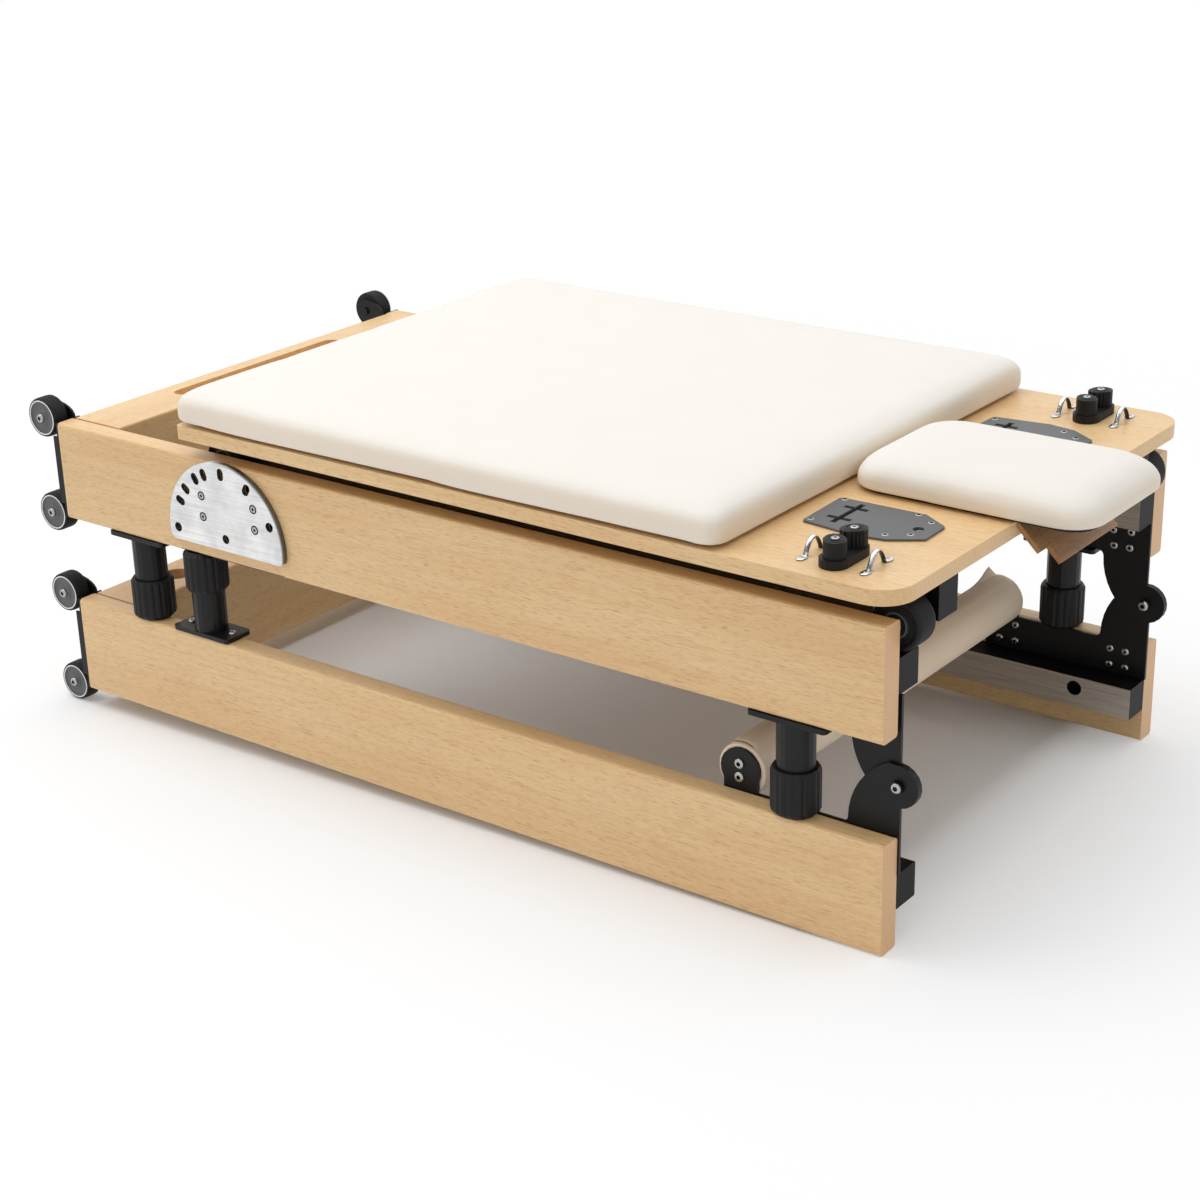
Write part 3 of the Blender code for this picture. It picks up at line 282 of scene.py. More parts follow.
def add(tree, kind, inputs=None, stops=None, **settings):
    """One shader node: its settings, the stops of its ramp, and its inputs, each a value, another
    node's output, or another node, which stands for its first output."""
    made = tree.nodes.new(f"ShaderNode{kind}")
    for name, value in settings.items():
        setattr(made, name, value)
    if stops:
        elements = made.color_ramp.elements
        while len(elements) < len(stops):
            elements.new(0.5)
        for element, (position, value) in zip(elements, stops):
            element.position = position
            element.color = linear(value) if isinstance(value, str) else (value, value, value, 1.0)
    plug(tree, made, inputs or {})
    return made


def plug(tree, node, inputs):
    """Sets or links a node's inputs; a text is a hex colour."""
    for socket, value in inputs.items():
        if isinstance(value, str):
            value = linear(value)
        elif isinstance(value, bpy.types.Node):
            value = value.outputs[0]
        if isinstance(value, bpy.types.NodeSocket):
            tree.links.new(value, node.inputs[socket])
        else:
            node.inputs[socket].default_value = value


def rays(tree, *kinds):
    """1 for light rays of the named kinds, and 0 for others."""
    path = add(tree, "LightPath")
    share = path.outputs[f"Is {kinds[0]} Ray"]
    for kind in kinds[1:]:
        share = add(tree, "Math", {0: share, 1: path.outputs[f"Is {kind} Ray"]}, operation="MAXIMUM")
    return share


def new_material(name, **shader_values):
    """A material with its shader set, and its tree and shader."""
    material = bpy.data.materials.new(name)
    material.use_nodes = True
    tree = material.node_tree
    shader = tree.nodes["Principled BSDF"]
    plug(tree, shader, {socket.replace("_", " "): value for socket, value in shader_values.items()})
    return material, tree, shader


def dress(nodes, material):
    """Gives CAD nodes a material through their objects' slots."""
    for name in nodes:
        thing = frame["nodes"][name]
        for slot in thing.material_slots:
            slot.link = "OBJECT"
            slot.material = material


def sided(*stems):
    return [f"{stem}_{side}" for stem in stems for side, _ in SIDES]


def from_level_point(point):
    """Location for a Mapping node that turns object coordinates into the level layout, measured from a
    point: x = R' p - (c + R' s)."""
    return tuple(-(np.asarray(point, float) + TURN.T @ SHIFT))


END_GRAIN = "D3A172"


def lacquered_oak(name, grain, offset, pale, deep, streak, ring=0.009, rosy=0.6):
    """Quarter-sawn oak under satin lacquer: honey bands of the year rings, short dark pores along the
    grain, and end grain where the face is square to it. It gives the warm, calm wood of the frame."""
    material, tree, shader = new_material(name, Roughness=0.46, Coat_Weight=0.4, Coat_Roughness=0.34)
    place = add(tree, "TexCoord").outputs
    turn = {"x": (0, -LEAN, 0), "y": (0, -LEAN, math.pi / 2)}[grain]
    level = add(tree, "Mapping", {"Vector": place["Object"], "Rotation": turn, "Location": offset})
    # X now runs along the grain. Year rings are about 9 mm apart on these faces.
    long = add(tree, "VectorMath", {0: level, 1: (0.13, 1.0, 1.0)}, operation="MULTIPLY")
    wander = add(tree, "TexNoise", {"Vector": long, "Scale": 7.0, "Detail": 2.0})
    bent = add(tree, "MixRGB", {"Fac": 0.055, "Color1": long, "Color2": wander.outputs["Color"]},
            blend_type="ADD")
    rings = add(tree, "TexWave", {"Vector": bent, "Scale": 0.314 / ring, "Distortion": 1.4,
            "Detail": 3.0, "Detail Scale": 1.5, "Detail Roughness": 0.6}, wave_type="RINGS",
            rings_direction="X", wave_profile="SAW")
    band = add(tree, "ValToRGB", {"Fac": rings.outputs["Fac"]}, stops=((0.0, deep), (0.35, pale),
            (0.8, pale), (1.0, deep)))
    broad_place = add(tree, "VectorMath", {0: level, 1: (2.2, 16.0, 16.0)}, operation="MULTIPLY")
    broad = add(tree, "TexNoise", {"Vector": broad_place, "Scale": 1.0, "Detail": 3.0,
            "Roughness": 0.55})
    tone = add(tree, "ValToRGB", {"Fac": broad}, stops=((0.32, deep), (0.62, pale)))
    mild = add(tree, "MixRGB", {"Fac": 0.35, "Color1": pale, "Color2": band})
    body = add(tree, "MixRGB", {"Fac": 0.45, "Color1": mild, "Color2": tone})
    # Fibres are 0.1 mm wide; they are drawn 1 mm wide, which is what shows from here, and the wander
    # of the rings bends them too.
    sway = add(tree, "MixRGB", {"Fac": 0.014, "Color1": level, "Color2": wander.outputs["Color"]},
            blend_type="ADD")
    fibre_place = add(tree, "VectorMath", {0: sway, 1: (22.0, 800.0, 800.0)}, operation="MULTIPLY")
    fibre = add(tree, "TexNoise", {"Vector": fibre_place, "Scale": 1.0, "Detail": 2.0, "Roughness": 0.6})
    thread = add(tree, "ValToRGB", {"Fac": fibre}, stops=((0.32, 0.87), (0.58, 1.0)))
    fine = add(tree, "MixRGB", {"Fac": 0.7, "Color1": body, "Color2": thread}, blend_type="MULTIPLY")
    # Pores are 5 to 20 mm long and 0.3 mm wide; they are drawn 1 mm wide.
    pore_place = add(tree, "VectorMath", {0: sway, 1: (75.0, 1250.0, 1250.0)}, operation="MULTIPLY")
    pore = add(tree, "TexNoise", {"Vector": pore_place, "Scale": 1.0, "Detail": 1.0})
    spot = add(tree, "ValToRGB", {"Fac": pore}, stops=((0.56, 0.0), (0.68, 1.0)))
    spotted = add(tree, "Math", {0: spot, 1: 0.5}, operation="MULTIPLY")
    dotted = add(tree, "MixRGB", {"Fac": spotted, "Color1": fine, "Color2": streak})
    # End grain is rosier, and its streaks are fainter
    facing = add(tree, "Mapping", {"Vector": place["Normal"], "Rotation": turn})
    along = add(tree, "SeparateXYZ", {"Vector": facing})
    size = add(tree, "Math", {0: along.outputs["X"]}, operation="ABSOLUTE")
    ends = add(tree, "MapRange", {"Value": size, "From Min": 0.9, "From Max": 0.98})
    end_tone = add(tree, "MixRGB", {"Fac": rosy, "Color1": dotted, "Color2": END_GRAIN})
    colour = add(tree, "MixRGB", {"Fac": ends, "Color1": dotted, "Color2": end_tone})
    rough = add(tree, "MapRange", {"Value": fibre, "To Min": 0.38, "To Max": 0.54})
    grain_height = add(tree, "Math", {0: fibre, 1: spot}, operation="SUBTRACT")
    bump = add(tree, "Bump", {"Height": grain_height, "Strength": 0.18, "Distance": 0.0004})
    plug(tree, shader, {"Base Color": colour, "Roughness": rough, "Normal": bump})
    return material


def around(tree, centre):
    """Nodes that measure from a point of the level layout: the place itself, its distance from the point
    in XZ, and its X, Y and Z."""
    place = add(tree, "TexCoord").outputs
    level = add(tree, "Mapping", {"Vector": place["Object"], "Rotation": (0, -LEAN, 0),
            "Location": from_level_point(centre)})
    flat = add(tree, "VectorMath", {0: level, 1: (1.0, 0.0, 1.0)}, operation="MULTIPLY")
    reach = add(tree, "VectorMath", {0: flat}, operation="LENGTH")
    return level, reach.outputs["Value"], add(tree, "SeparateXYZ", {"Vector": level})


def pocket_painted_shade(material):
    """Painted shade in the pocket milled into a rail behind its footbar plate: near-black on all that
    lies within its radius and between 0.6 mm and its depth below the outer face."""
    tree = material.node_tree
    shader = tree.nodes["Principled BSDF"]
    wood = shader.inputs["Base Color"].links[0].from_socket
    _, reach, parts = around(tree, FOOTBAR_CENTRE)
    near = add(tree, "Math", {0: reach, 1: POCKET_RADIUS}, operation="LESS_THAN")
    across = add(tree, "Math", {0: parts.outputs["Y"]}, operation="ABSOLUTE")
    sunk = add(tree, "Math", {0: across, 1: RAIL_FACE - 0.0006}, operation="LESS_THAN")
    shallow = add(tree, "Math", {0: across, 1: RAIL_FACE - POCKET_DEPTH}, operation="GREATER_THAN")
    inside = add(tree, "Math", {0: sunk, 1: shallow}, operation="MULTIPLY")
    share = add(tree, "Math", {0: inside, 1: near}, operation="MULTIPLY")
    # Painted shade: the pocket is drawn near-black, the dark that the slots show
    colour = add(tree, "MixRGB", {"Fac": share, "Color1": wood, "Color2": "0C0A09"})
    plug(tree, shader, {"Base Color": colour})
    return material


def upholstery_leather(name, tone, shade, side="FFFFFF", grain=0.0016, roughness=0.5):
    """Coated cream leather: a soft sheen over a fine pebble grain of 1.6 mm, with faint painted shade in
    its hollows, and warmer painted shade on the faces that turn down the sides. It gives the cushions
    their even, matt, slightly warm white."""
    material, tree, shader = new_material(name, Roughness=roughness, Sheen_Weight=0.08,
            Sheen_Roughness=0.45, Specular_IOR_Level=0.4)
    place = add(tree, "TexCoord").outputs
    pebble = add(tree, "TexVoronoi", {"Vector": place["Object"], "Scale": 1 / grain},
            feature="DISTANCE_TO_EDGE")
    stretch = add(tree, "TexNoise", {"Vector": place["Object"], "Scale": 14.0, "Detail": 4.0,
            "Roughness": 0.5})
    mottled = add(tree, "MapRange", {"Value": stretch, "From Min": 0.3, "From Max": 0.7, "To Max": 0.2})
    # Painted shade: the pebble's hollows are drawn darker
    hollow = add(tree, "MapRange", {"Value": pebble.outputs["Distance"], "From Max": 0.06, "To Min": 0.4,
            "To Max": 0.0})
    depth = add(tree, "Math", {0: mottled, 1: hollow}, operation="ADD")
    colour = add(tree, "MixRGB", {"Fac": depth, "Color1": tone, "Color2": shade})
    # Painted shade: faces that turn down the sides are multiplied by the warm side colour
    facing = add(tree, "SeparateXYZ", {"Vector": place["Normal"]})
    down = add(tree, "MapRange", {"Value": facing.outputs["Z"], "From Min": 0.93, "From Max": 0.15},
            interpolation_type="SMOOTHSTEP")
    side_shaded = add(tree, "MixRGB", {"Fac": down, "Color1": colour, "Color2": side}, blend_type="MULTIPLY")
    height = add(tree, "Math", {0: pebble.outputs["Distance"], 1: 6.0}, operation="MULTIPLY",
            use_clamp=True)
    bump = add(tree, "Bump", {"Height": height, "Strength": 0.12, "Distance": 0.0003})
    plug(tree, shader, {"Base Color": side_shaded, "Normal": bump})
    return material


def powder_coat(name, tone, worn, grit=0.0011, roughness=0.42, gloss=0.27):
    """Powder coat on steel: a fine orange peel of about a millimetre. It gives the black plates their
    soft, slightly grainy gloss."""
    material, tree, shader = new_material(name, Roughness=roughness, Specular_IOR_Level=gloss)
    place = add(tree, "TexCoord").outputs
    peel = add(tree, "TexNoise", {"Vector": place["Object"], "Scale": 1 / grit, "Detail": 2.0})
    cloud = add(tree, "TexNoise", {"Vector": place["Object"], "Scale": 18.0, "Detail": 3.0})
    colour = add(tree, "MixRGB", {"Fac": cloud, "Color1": tone, "Color2": worn})
    rough = add(tree, "MapRange", {"Value": cloud, "To Min": roughness - 0.1, "To Max": roughness + 0.1})
    bump = add(tree, "Bump", {"Height": peel, "Strength": 0.12, "Distance": 0.0003})
    plug(tree, shader, {"Base Color": colour, "Roughness": rough, "Normal": bump})
    return material


def moulded_plastic(name, tone, worn, roughness=0.5, gloss=0.27):
    """Glass-filled black nylon, moulded with a fine spark-eroded texture. It gives the feet and cleats
    their dull, even black."""
    material, tree, shader = new_material(name, Roughness=roughness, Specular_IOR_Level=gloss)
    place = add(tree, "TexCoord").outputs
    spark = add(tree, "TexNoise", {"Vector": place["Object"], "Scale": 1300.0, "Detail": 2.0})
    cloud = add(tree, "TexNoise", {"Vector": place["Object"], "Scale": 40.0})
    colour = add(tree, "MixRGB", {"Fac": cloud, "Color1": tone, "Color2": worn})
    bump = add(tree, "Bump", {"Height": spark, "Strength": 0.15, "Distance": 0.0002})
    plug(tree, shader, {"Base Color": colour, "Normal": bump})
    return material


def brushed_steel(name, tone, shade, lines=(4.0, 900.0, 900.0), roughness=0.3):
    """Stainless steel, brushed in one direction with 0.2 mm lines, drawn 1 mm apart. It gives the
    footbar plates and the track faces their long soft streaks."""
    material, tree, shader = new_material(name, Metallic=1.0, Roughness=roughness)
    place = add(tree, "TexCoord").outputs
    long = add(tree, "VectorMath", {0: place["Object"], 1: lines}, operation="MULTIPLY")
    line = add(tree, "TexNoise", {"Vector": long, "Scale": 1.0, "Detail": 3.0, "Roughness": 0.7})
    colour = add(tree, "ValToRGB", {"Fac": line}, stops=((0.3, shade), (0.65, tone)))
    rough = add(tree, "MapRange", {"Value": line, "To Min": roughness - 0.12,
            "To Max": roughness + 0.14})
    bump = add(tree, "Bump", {"Height": line, "Strength": 0.1, "Distance": 0.0002})
    plug(tree, shader, {"Base Color": colour, "Roughness": rough, "Normal": bump})
    return material


def plated_metal(name, tone, roughness):
    """Zinc or chrome plate over steel, with a faint cloud in its polish. It gives screws and rope
    guides their bright points."""
    material, tree, shader = new_material(name, Metallic=1.0, Roughness=roughness, Base_Color=tone)
    place = add(tree, "TexCoord").outputs
    cloud = add(tree, "TexNoise", {"Vector": place["Object"], "Scale": 220.0, "Detail": 2.0})
    rough = add(tree, "MapRange", {"Value": cloud, "To Min": max(0.02, roughness - 0.08),
            "To Max": roughness + 0.08})
    plug(tree, shader, {"Roughness": rough})
    return material


def bent_chrome(name):
    """Chrome on small bent parts. The room is white all round, so the dark bands that a real room
    leaves in chrome are drawn by the height of the normal, broken up by ripples of 4 mm."""
    material, tree, shader = new_material(name, Metallic=1.0, Roughness=0.14)
    place = add(tree, "TexCoord").outputs
    facing = add(tree, "SeparateXYZ", {"Vector": place["Normal"]})
    ripple = add(tree, "TexNoise", {"Vector": place["Object"], "Scale": 260.0, "Detail": 2.0})
    stir = add(tree, "MapRange", {"Value": ripple, "From Min": 0.3, "From Max": 0.7, "To Min": -0.2,
            "To Max": 0.2})
    height = add(tree, "Math", {0: facing.outputs["Z"], 1: stir})
    share = add(tree, "MapRange", {"Value": height, "From Min": -1.0, "From Max": 1.0})
    colour = add(tree, "ValToRGB", {"Fac": share}, stops=((0.30, "3A3B3D"), (0.46, "7E8082"),
            (0.56, "D8D8DA"), (0.68, "55575A"), (0.80, "C4C4C6"), (0.94, "E8E8EA")))
    plug(tree, shader, {"Base Color": colour})
    return material


def inward_steel(name, tone, shade):
    """Tracks and carriage tubes: brushed steel on the faces that look to the machine's middle, where
    Y times the normal's Y is below zero, and black coat elsewhere."""
    material = brushed_steel(name, tone, shade, lines=(12.0, 900.0, 900.0), roughness=0.4)
    tree = material.node_tree
    steel = tree.nodes["Principled BSDF"]
    black = add(tree, "BsdfPrincipled", {"Base Color": "0C0C0D", "Roughness": 0.45,
            "Specular IOR Level": 0.14})
    place = add(tree, "TexCoord").outputs
    facing = add(tree, "SeparateXYZ", {"Vector": place["Normal"]})
    where = add(tree, "SeparateXYZ", {"Vector": place["Object"]})
    side = add(tree, "Math", {0: where.outputs["Y"]}, operation="SIGN")
    face = add(tree, "Math", {0: facing.outputs["Y"], 1: side}, operation="MULTIPLY")
    share = add(tree, "Math", {0: face, 1: -0.7}, operation="LESS_THAN")
    both = add(tree, "MixShader", {0: share, 1: black, 2: steel})
    plug(tree, tree.nodes["Material Output"], {"Surface": both})
    return material


def footbar_steel(name):
    """Brushed stainless steel of the footbar plates, clouded by handling, with painted shade on its
    turned-over edge: a 4 mm band darkened to the hinge side and left bright to the other."""
    material = brushed_steel(name, "F6F6F5", "DADADA", lines=(6.0, 600.0, 600.0))
    tree = material.node_tree
    shader = tree.nodes["Principled BSDF"]
    brushed = shader.inputs["Base Color"].links[0].from_socket
    level, reach, parts = around(tree, FOOTBAR_CENTRE)
    cloud = add(tree, "TexNoise", {"Vector": level, "Scale": 26.0, "Detail": 3.0, "Roughness": 0.55})
    cloudy = add(tree, "ValToRGB", {"Fac": cloud}, stops=((0.35, 0.80), (0.62, 1.0)))
    toned = add(tree, "MixRGB", {"Fac": 1.0, "Color1": brushed, "Color2": cloudy}, blend_type="MULTIPLY")
    # Painted shade: a band at the rim is darkened, on the hinge side only
    band = add(tree, "MapRange", {"Value": reach, "From Min": FOOTBAR_RADIUS - 0.0045,
            "From Max": FOOTBAR_RADIUS - 0.001}, interpolation_type="SMOOTHSTEP")
    right = add(tree, "MapRange", {"Value": parts.outputs["X"], "From Min": -0.02, "From Max": 0.03})
    edge = add(tree, "Math", {0: band, 1: right}, operation="MULTIPLY")
    painted_edge_shade = add(tree, "Math", {0: edge, 1: 0.8}, operation="MULTIPLY")
    colour = add(tree, "MixRGB", {"Fac": painted_edge_shade, "Color1": toned, "Color2": "3A3A3B"})
    plug(tree, shader, {"Base Color": colour})
    return material


MATERIALS = {}


def finish(name):
    """A shared material, made when it is first asked for."""
    # The rubber is a matt polyurethane tread with faint dust, which gives the wheels a soft dark rim.
    makers = {
        "black_powder_coat": lambda n: powder_coat(n, "0D0D0E", "131314"),
        "leg_tube": lambda n: powder_coat(n, "0F1011", "151617", roughness=0.34),
        "grey_plate": lambda n: powder_coat(n, "57595B", "606264", roughness=0.46, gloss=0.4),
        "black_nylon": lambda n: moulded_plastic(n, "0E0E0F", "151516"),
        # socket_shade: near-black painted shade inside sockets and countersinks; also laid on the board
        # under the shoulder plates
        "socket_shade": lambda n: moulded_plastic(n, "070708", "0C0C0D", roughness=0.7, gloss=0.15),
        "wheel_rubber": lambda n: moulded_plastic(n, "121213", "1A1A1B", roughness=0.62, gloss=0.24),
        "wheel_ring": lambda n: moulded_plastic(n, "E0E0DF", "EAEAE9", roughness=0.4),
        "hub_ring": lambda n: moulded_plastic(n, "57585A", "646567", roughness=0.4),
        # The carriers' brown tone is painted shade, the brownish shade in the gap under the board's near
        # edge
        "brown_shade_steel": lambda n: powder_coat(n, "54463A", "625244", roughness=0.5, gloss=0.35),
        "wheel_disc": lambda n: moulded_plastic(n, "5C5C5D", "6A6A6B", roughness=0.5),
        "zinc_plate": lambda n: plated_metal(n, "B0B0AE", 0.26),
        "bright_chrome": bent_chrome,
        # The cream leather's side colour is painted shade on the cushion's sides
        "cream_leather": lambda n: upholstery_leather(n, "E6E2DB", "DED9CF", side="FFF6EA"),
        "tan_leather": lambda n: upholstery_leather(n, "F4E0C6", "E6D1B2", roughness=0.55),
        "cut_leather": lambda n: upholstery_leather(n, "6E4B30", "593A24", roughness=0.7),
    }
    if name not in MATERIALS:
        MATERIALS[name] = makers[name](name)
    return MATERIALS[name]


# Settings

class StageSettings(bpy.types.PropertyGroup):
    """The studio."""

    key_power: FloatProperty(name="Key light", description="Power of the large light at the left",
            default=46.0, min=0.0, subtype="POWER")
    top_power: FloatProperty(name="Top light", description="Power of the large light overhead",
            default=32.0, min=0.0, subtype="POWER")
    sky: FloatProperty(name="Sky", description="Brightness of the white room", default=0.71, min=0.0)
    floor_colour: StringProperty(name="Floor", description="Colour of the floor, as sRGB hex",
            default="F8F9FB")
    lens: FloatProperty(name="Lens", description="Focal length of the camera", default=69.03,
            subtype="DISTANCE_CAMERA")


class TimberSettings(bpy.types.PropertyGroup):
    """The oak."""

    pale: StringProperty(name="Pale wood", description="Early wood, as sRGB hex", default="E4C28E")
    deep: StringProperty(name="Deep wood", description="Late wood, as sRGB hex", default="D6A76D")
    streak: StringProperty(name="Pores", description="Pores along the grain, as sRGB hex",
            default="B2743A")
    ring: FloatProperty(name="Year ring", description="Distance between year rings", default=0.009,
            unit="LENGTH")


class CushionSettings(bpy.types.PropertyGroup):
    """The cushions."""

    pressure: FloatProperty(name="Fill", description="Pressure of the foam under the leather",
            default=2.5)
    swell: FloatProperty(name="Swell", description="How far the leather may move", default=0.003,
            unit="LENGTH")
    steps: IntProperty(name="Steps", description="Frames of simulation", default=20, min=1)


class HardwareSettings(bpy.types.PropertyGroup):
    """Screws, bolts and rope guides."""

    button_radius: FloatProperty(name="Button head", description="Radius of the domed screws",
            default=0.0052, unit="LENGTH")
    bolt_radius: FloatProperty(name="Bolt head", description="Radius of the wheel bolts", default=0.0064,
            unit="LENGTH")
    wire: FloatProperty(name="Rope guide", description="Half thickness of the rope guides' wire",
            default=0.0024, unit="LENGTH")


# Stage

CAMERA_ANGLES = (37.718, 22.115, -1.644)  # azimuth, elevation and roll in degrees
CAMERA_PLACE = (1.7244, -2.2217, 1.3014)  # in the level layout
AIM = (0.0, 0.0, 0.25)  # what the lights point at
FOOTPRINT = (-0.07, 0.0, 0.0), (0.57, 0.33, 9.0)  # middle and half size, taller than anything
FADE_LENGTH = 2.0
FLOOR_RADIUS = 7.0
FLOOR_DROP = 0.0004  # keeps the floor off the feet


class REFORMER_OT_stage(bpy.types.Operator):
    """Camera, floor, white room and lights"""

    bl_idname = "reformer.stage"
    bl_label = "Studio"

    def execute(self, context):
        settings = context.scene.reformer_stage
        self.place_camera(context, settings.lens)
        self.light_room(context, settings)
        self.lay_floor(settings)
        return {"FINISHED"}

    def place_camera(self, context, lens):
        """The photograph's pinhole camera, turned with the layout."""
        azimuth, height, roll = (math.radians(angle) for angle in CAMERA_ANGLES)
        back = np.array((math.sin(azimuth) * math.cos(height), -math.cos(azimuth) * math.cos(height),
                         math.sin(height)))
        right = np.array((math.cos(azimuth), math.sin(azimuth), 0.0))
        up = np.cross(back, right)
        rolled_right = math.cos(roll) * right + math.sin(roll) * up
        rolled_up = -math.sin(roll) * right + math.cos(roll) * up
        axes = TURN @ np.stack((rolled_right, rolled_up, back), 1)
        data = bpy.data.cameras.new("photograph_camera")
        data.sensor_width = 36.0
        data.lens = lens
        data.clip_start, data.clip_end = 0.05, 60.0
        context.scene.camera = new_object("photograph_camera", data, axes, to_world(CAMERA_PLACE))

    def light_room(self, context, settings):
        """A white room that the camera and glossy surfaces see at strength 1, a large soft light high
        on the left and another overhead."""
        context.scene.view_settings.view_transform = "Standard"
        world = bpy.data.worlds.new("white_room")
        context.scene.world = world
        world.use_nodes = True
        tree = world.node_tree
        tree.nodes.clear()
        seen = rays(tree, "Camera", "Glossy", "Transmission")
        lit = add(tree, "Background", {"Color": "FFFFFF", "Strength": settings.sky})
        white = add(tree, "Background", {"Color": "FFFFFF", "Strength": 1.0})
        both = add(tree, "MixShader", {0: seen, 1: lit, 2: white})
        add(tree, "OutputWorld", {"Surface": both})
        for name, place, size, power in (
                ("key_light", (-1.7, -0.9, 3.3), 2.6, settings.key_power),
                ("top_light", (0.2, 0.5, 3.4), 3.0, settings.top_power)):
            data = bpy.data.lights.new(name, "AREA")
            data.size = size
            data.energy = power
            back = np.subtract(place, AIM)
            back /= np.linalg.norm(back)
            side = np.cross((0.0, 0.0, 1.0), back)
            side /= np.linalg.norm(side)
            new_object(name, data, np.stack((side, np.cross(back, side), back), 1), place)

    def lay_floor(self, settings):
        """A pale floor that keeps the shadow under the machine and fades into the white room: for camera
        and glossy rays it glows white in a share that grows with the distance d from its footprint,
        painted light that lifts its shadow away from the machine. d = |max(|p - c| - h, 0)|, c its
        middle and h its half size."""
        material, tree, shader = new_material("pale_studio_floor", Roughness=0.9, Specular_IOR_Level=0.1)
        place = add(tree, "TexCoord").outputs
        dust = add(tree, "TexNoise", {"Vector": place["Object"], "Scale": 60.0, "Detail": 4.0})
        tint = add(tree, "MapRange", {"Value": dust, "To Min": 0.0, "To Max": 0.06})
        colour = add(tree, "MixRGB", {"Fac": tint, "Color1": settings.floor_colour, "Color2": "E3E2E0"})
        plug(tree, shader, {"Base Color": colour})
        middle, half = FOOTPRINT
        off = add(tree, "VectorMath", {0: place["Object"], 1: middle}, operation="SUBTRACT")
        size = add(tree, "VectorMath", {0: off}, operation="ABSOLUTE")
        past = add(tree, "VectorMath", {0: size, 1: half}, operation="SUBTRACT")
        outside = add(tree, "VectorMath", {0: past}, operation="MAXIMUM")
        length = add(tree, "VectorMath", {0: outside}, operation="LENGTH")
        metres = add(tree, "Math", {0: length.outputs["Value"], 1: FADE_LENGTH}, operation="DIVIDE")
        # Painted light: seen by camera and glossy rays the floor glows white, lifting its shadow more
        # the further it lies from the machine
        glow_share = add(tree, "ValToRGB", {"Fac": metres}, stops=((0.0, 0.0), (0.02, 0.18), (0.06, 0.36),
                (0.18, 0.54), (0.45, 0.74), (0.9, 1.0)))
        share = add(tree, "Math", {0: glow_share, 1: rays(tree, "Camera", "Glossy")}, operation="MULTIPLY")
        white = add(tree, "Emission", {"Color": "FFFFFF", "Strength": 1.0})
        both = add(tree, "MixShader", {0: share, 1: shader, 2: white})
        plug(tree, tree.nodes["Material Output"], {"Surface": both})
        radius = np.linspace(0.0, FLOOR_RADIUS, 15)
        points, faces = turned(np.stack((radius, 0 * radius - FLOOR_DROP), -1), 64)
        mesh = new_mesh("floor", points, faces, [material])
        tidy(mesh)
        mesh.shade_smooth()
        new_object("floor", mesh)


# Frame pieces that keep their CAD shape

class REFORMER_OT_timber(bpy.types.Operator):
    """Lacquered oak on the rails, end blocks, carriage board and headrest prop"""

    bl_idname = "reformer.timber"
    bl_label = "Oak"

    def execute(self, context):
        s = context.scene.reformer_timber
        tones = (s.pale, s.deep, s.streak)
        planks = {
            "foot_rail_near": ("x", (0.31, 0.055, -0.20)), "foot_rail_far": ("x", (1.7, -0.06, -0.16)),
            "head_rail_near": ("x", (2.9, 0.11, 0.02)), "head_rail_far": ("x", (4.1, -0.05, 0.07)),
            "foot_end_block": ("y", (0.8, -0.72, -0.17)), "head_end_block": ("y", (2.1, -0.55, 0.12)),
            "carriage_board": ("x", (0.4, 0.9, -0.30)),
        }
        for node, (grain, offset) in planks.items():
            rosy = 0.1 if node == "carriage_board" else 0.6
            oak = lacquered_oak(f"oak_{node}", grain, offset, *tones, ring=s.ring, rosy=rosy)
            if node.startswith("foot_rail"):
                oak = pocket_painted_shade(oak)
            dress([node], oak)
        # The prop's oak is drawn darker than the frame's: painted shade, as it lies under the headrest
        dark = lacquered_oak("prop_oak_shaded", "y", (0.2, 0.1, -0.4), "C48E58", "7E5430", "4A2E1A",
                ring=0.012, rosy=0.1)
        dress(["headrest_prop"], dark)
        # The headrest board is black; its thin edge under the pad also stands for the shadow line at the
        # pad's foot, which is painted shade
        dress(["headrest_board"], finish("black_nylon"))
        return {"FINISHED"}


class REFORMER_OT_metalwork(bpy.types.Operator):
    """Powder coat, brushed steel and nylon on the CAD metalwork"""

    bl_idname = "reformer.metalwork"
    bl_label = "Metalwork"

    def execute(self, context):
        dress(sided("foot_hinge_plate", "head_hinge_plate", "foot_wheel_bracket", "head_wheel_bracket"),
                finish("black_powder_coat"))
        dress(sided("foot_leg_end", "foot_leg_hinge", "head_leg"), finish("leg_tube"))
        # The warm grey of the tubes and tracks is partly the steel's own and partly painted reflection
        # of the oak round them
        dress(["carriage_underframe"], inward_steel("carriage_tube_steel", "A79E92", "8C8378"))
        dress(sided("shoulder_plate"), finish("grey_plate"))
        dress(sided("footbar_plate"), footbar_steel("footbar_plate_steel"))
        dress(sided("foot_leveller_end", "foot_leveller_hinge", "head_leveller", "cleat_base",
                "cleat_cam_inner", "cleat_cam_outer"), finish("black_nylon"))
        dress(sided("foot_track", "head_track"), inward_steel("track_steel", "BAB2A8", "968D83"))
        return {"FINISHED"}


# Wheels

WHEELS = {"foot": ("low", "high"), "head": ("low", "high"), "carriage": ("foot", "head")}
WHEEL_STEPS = 64


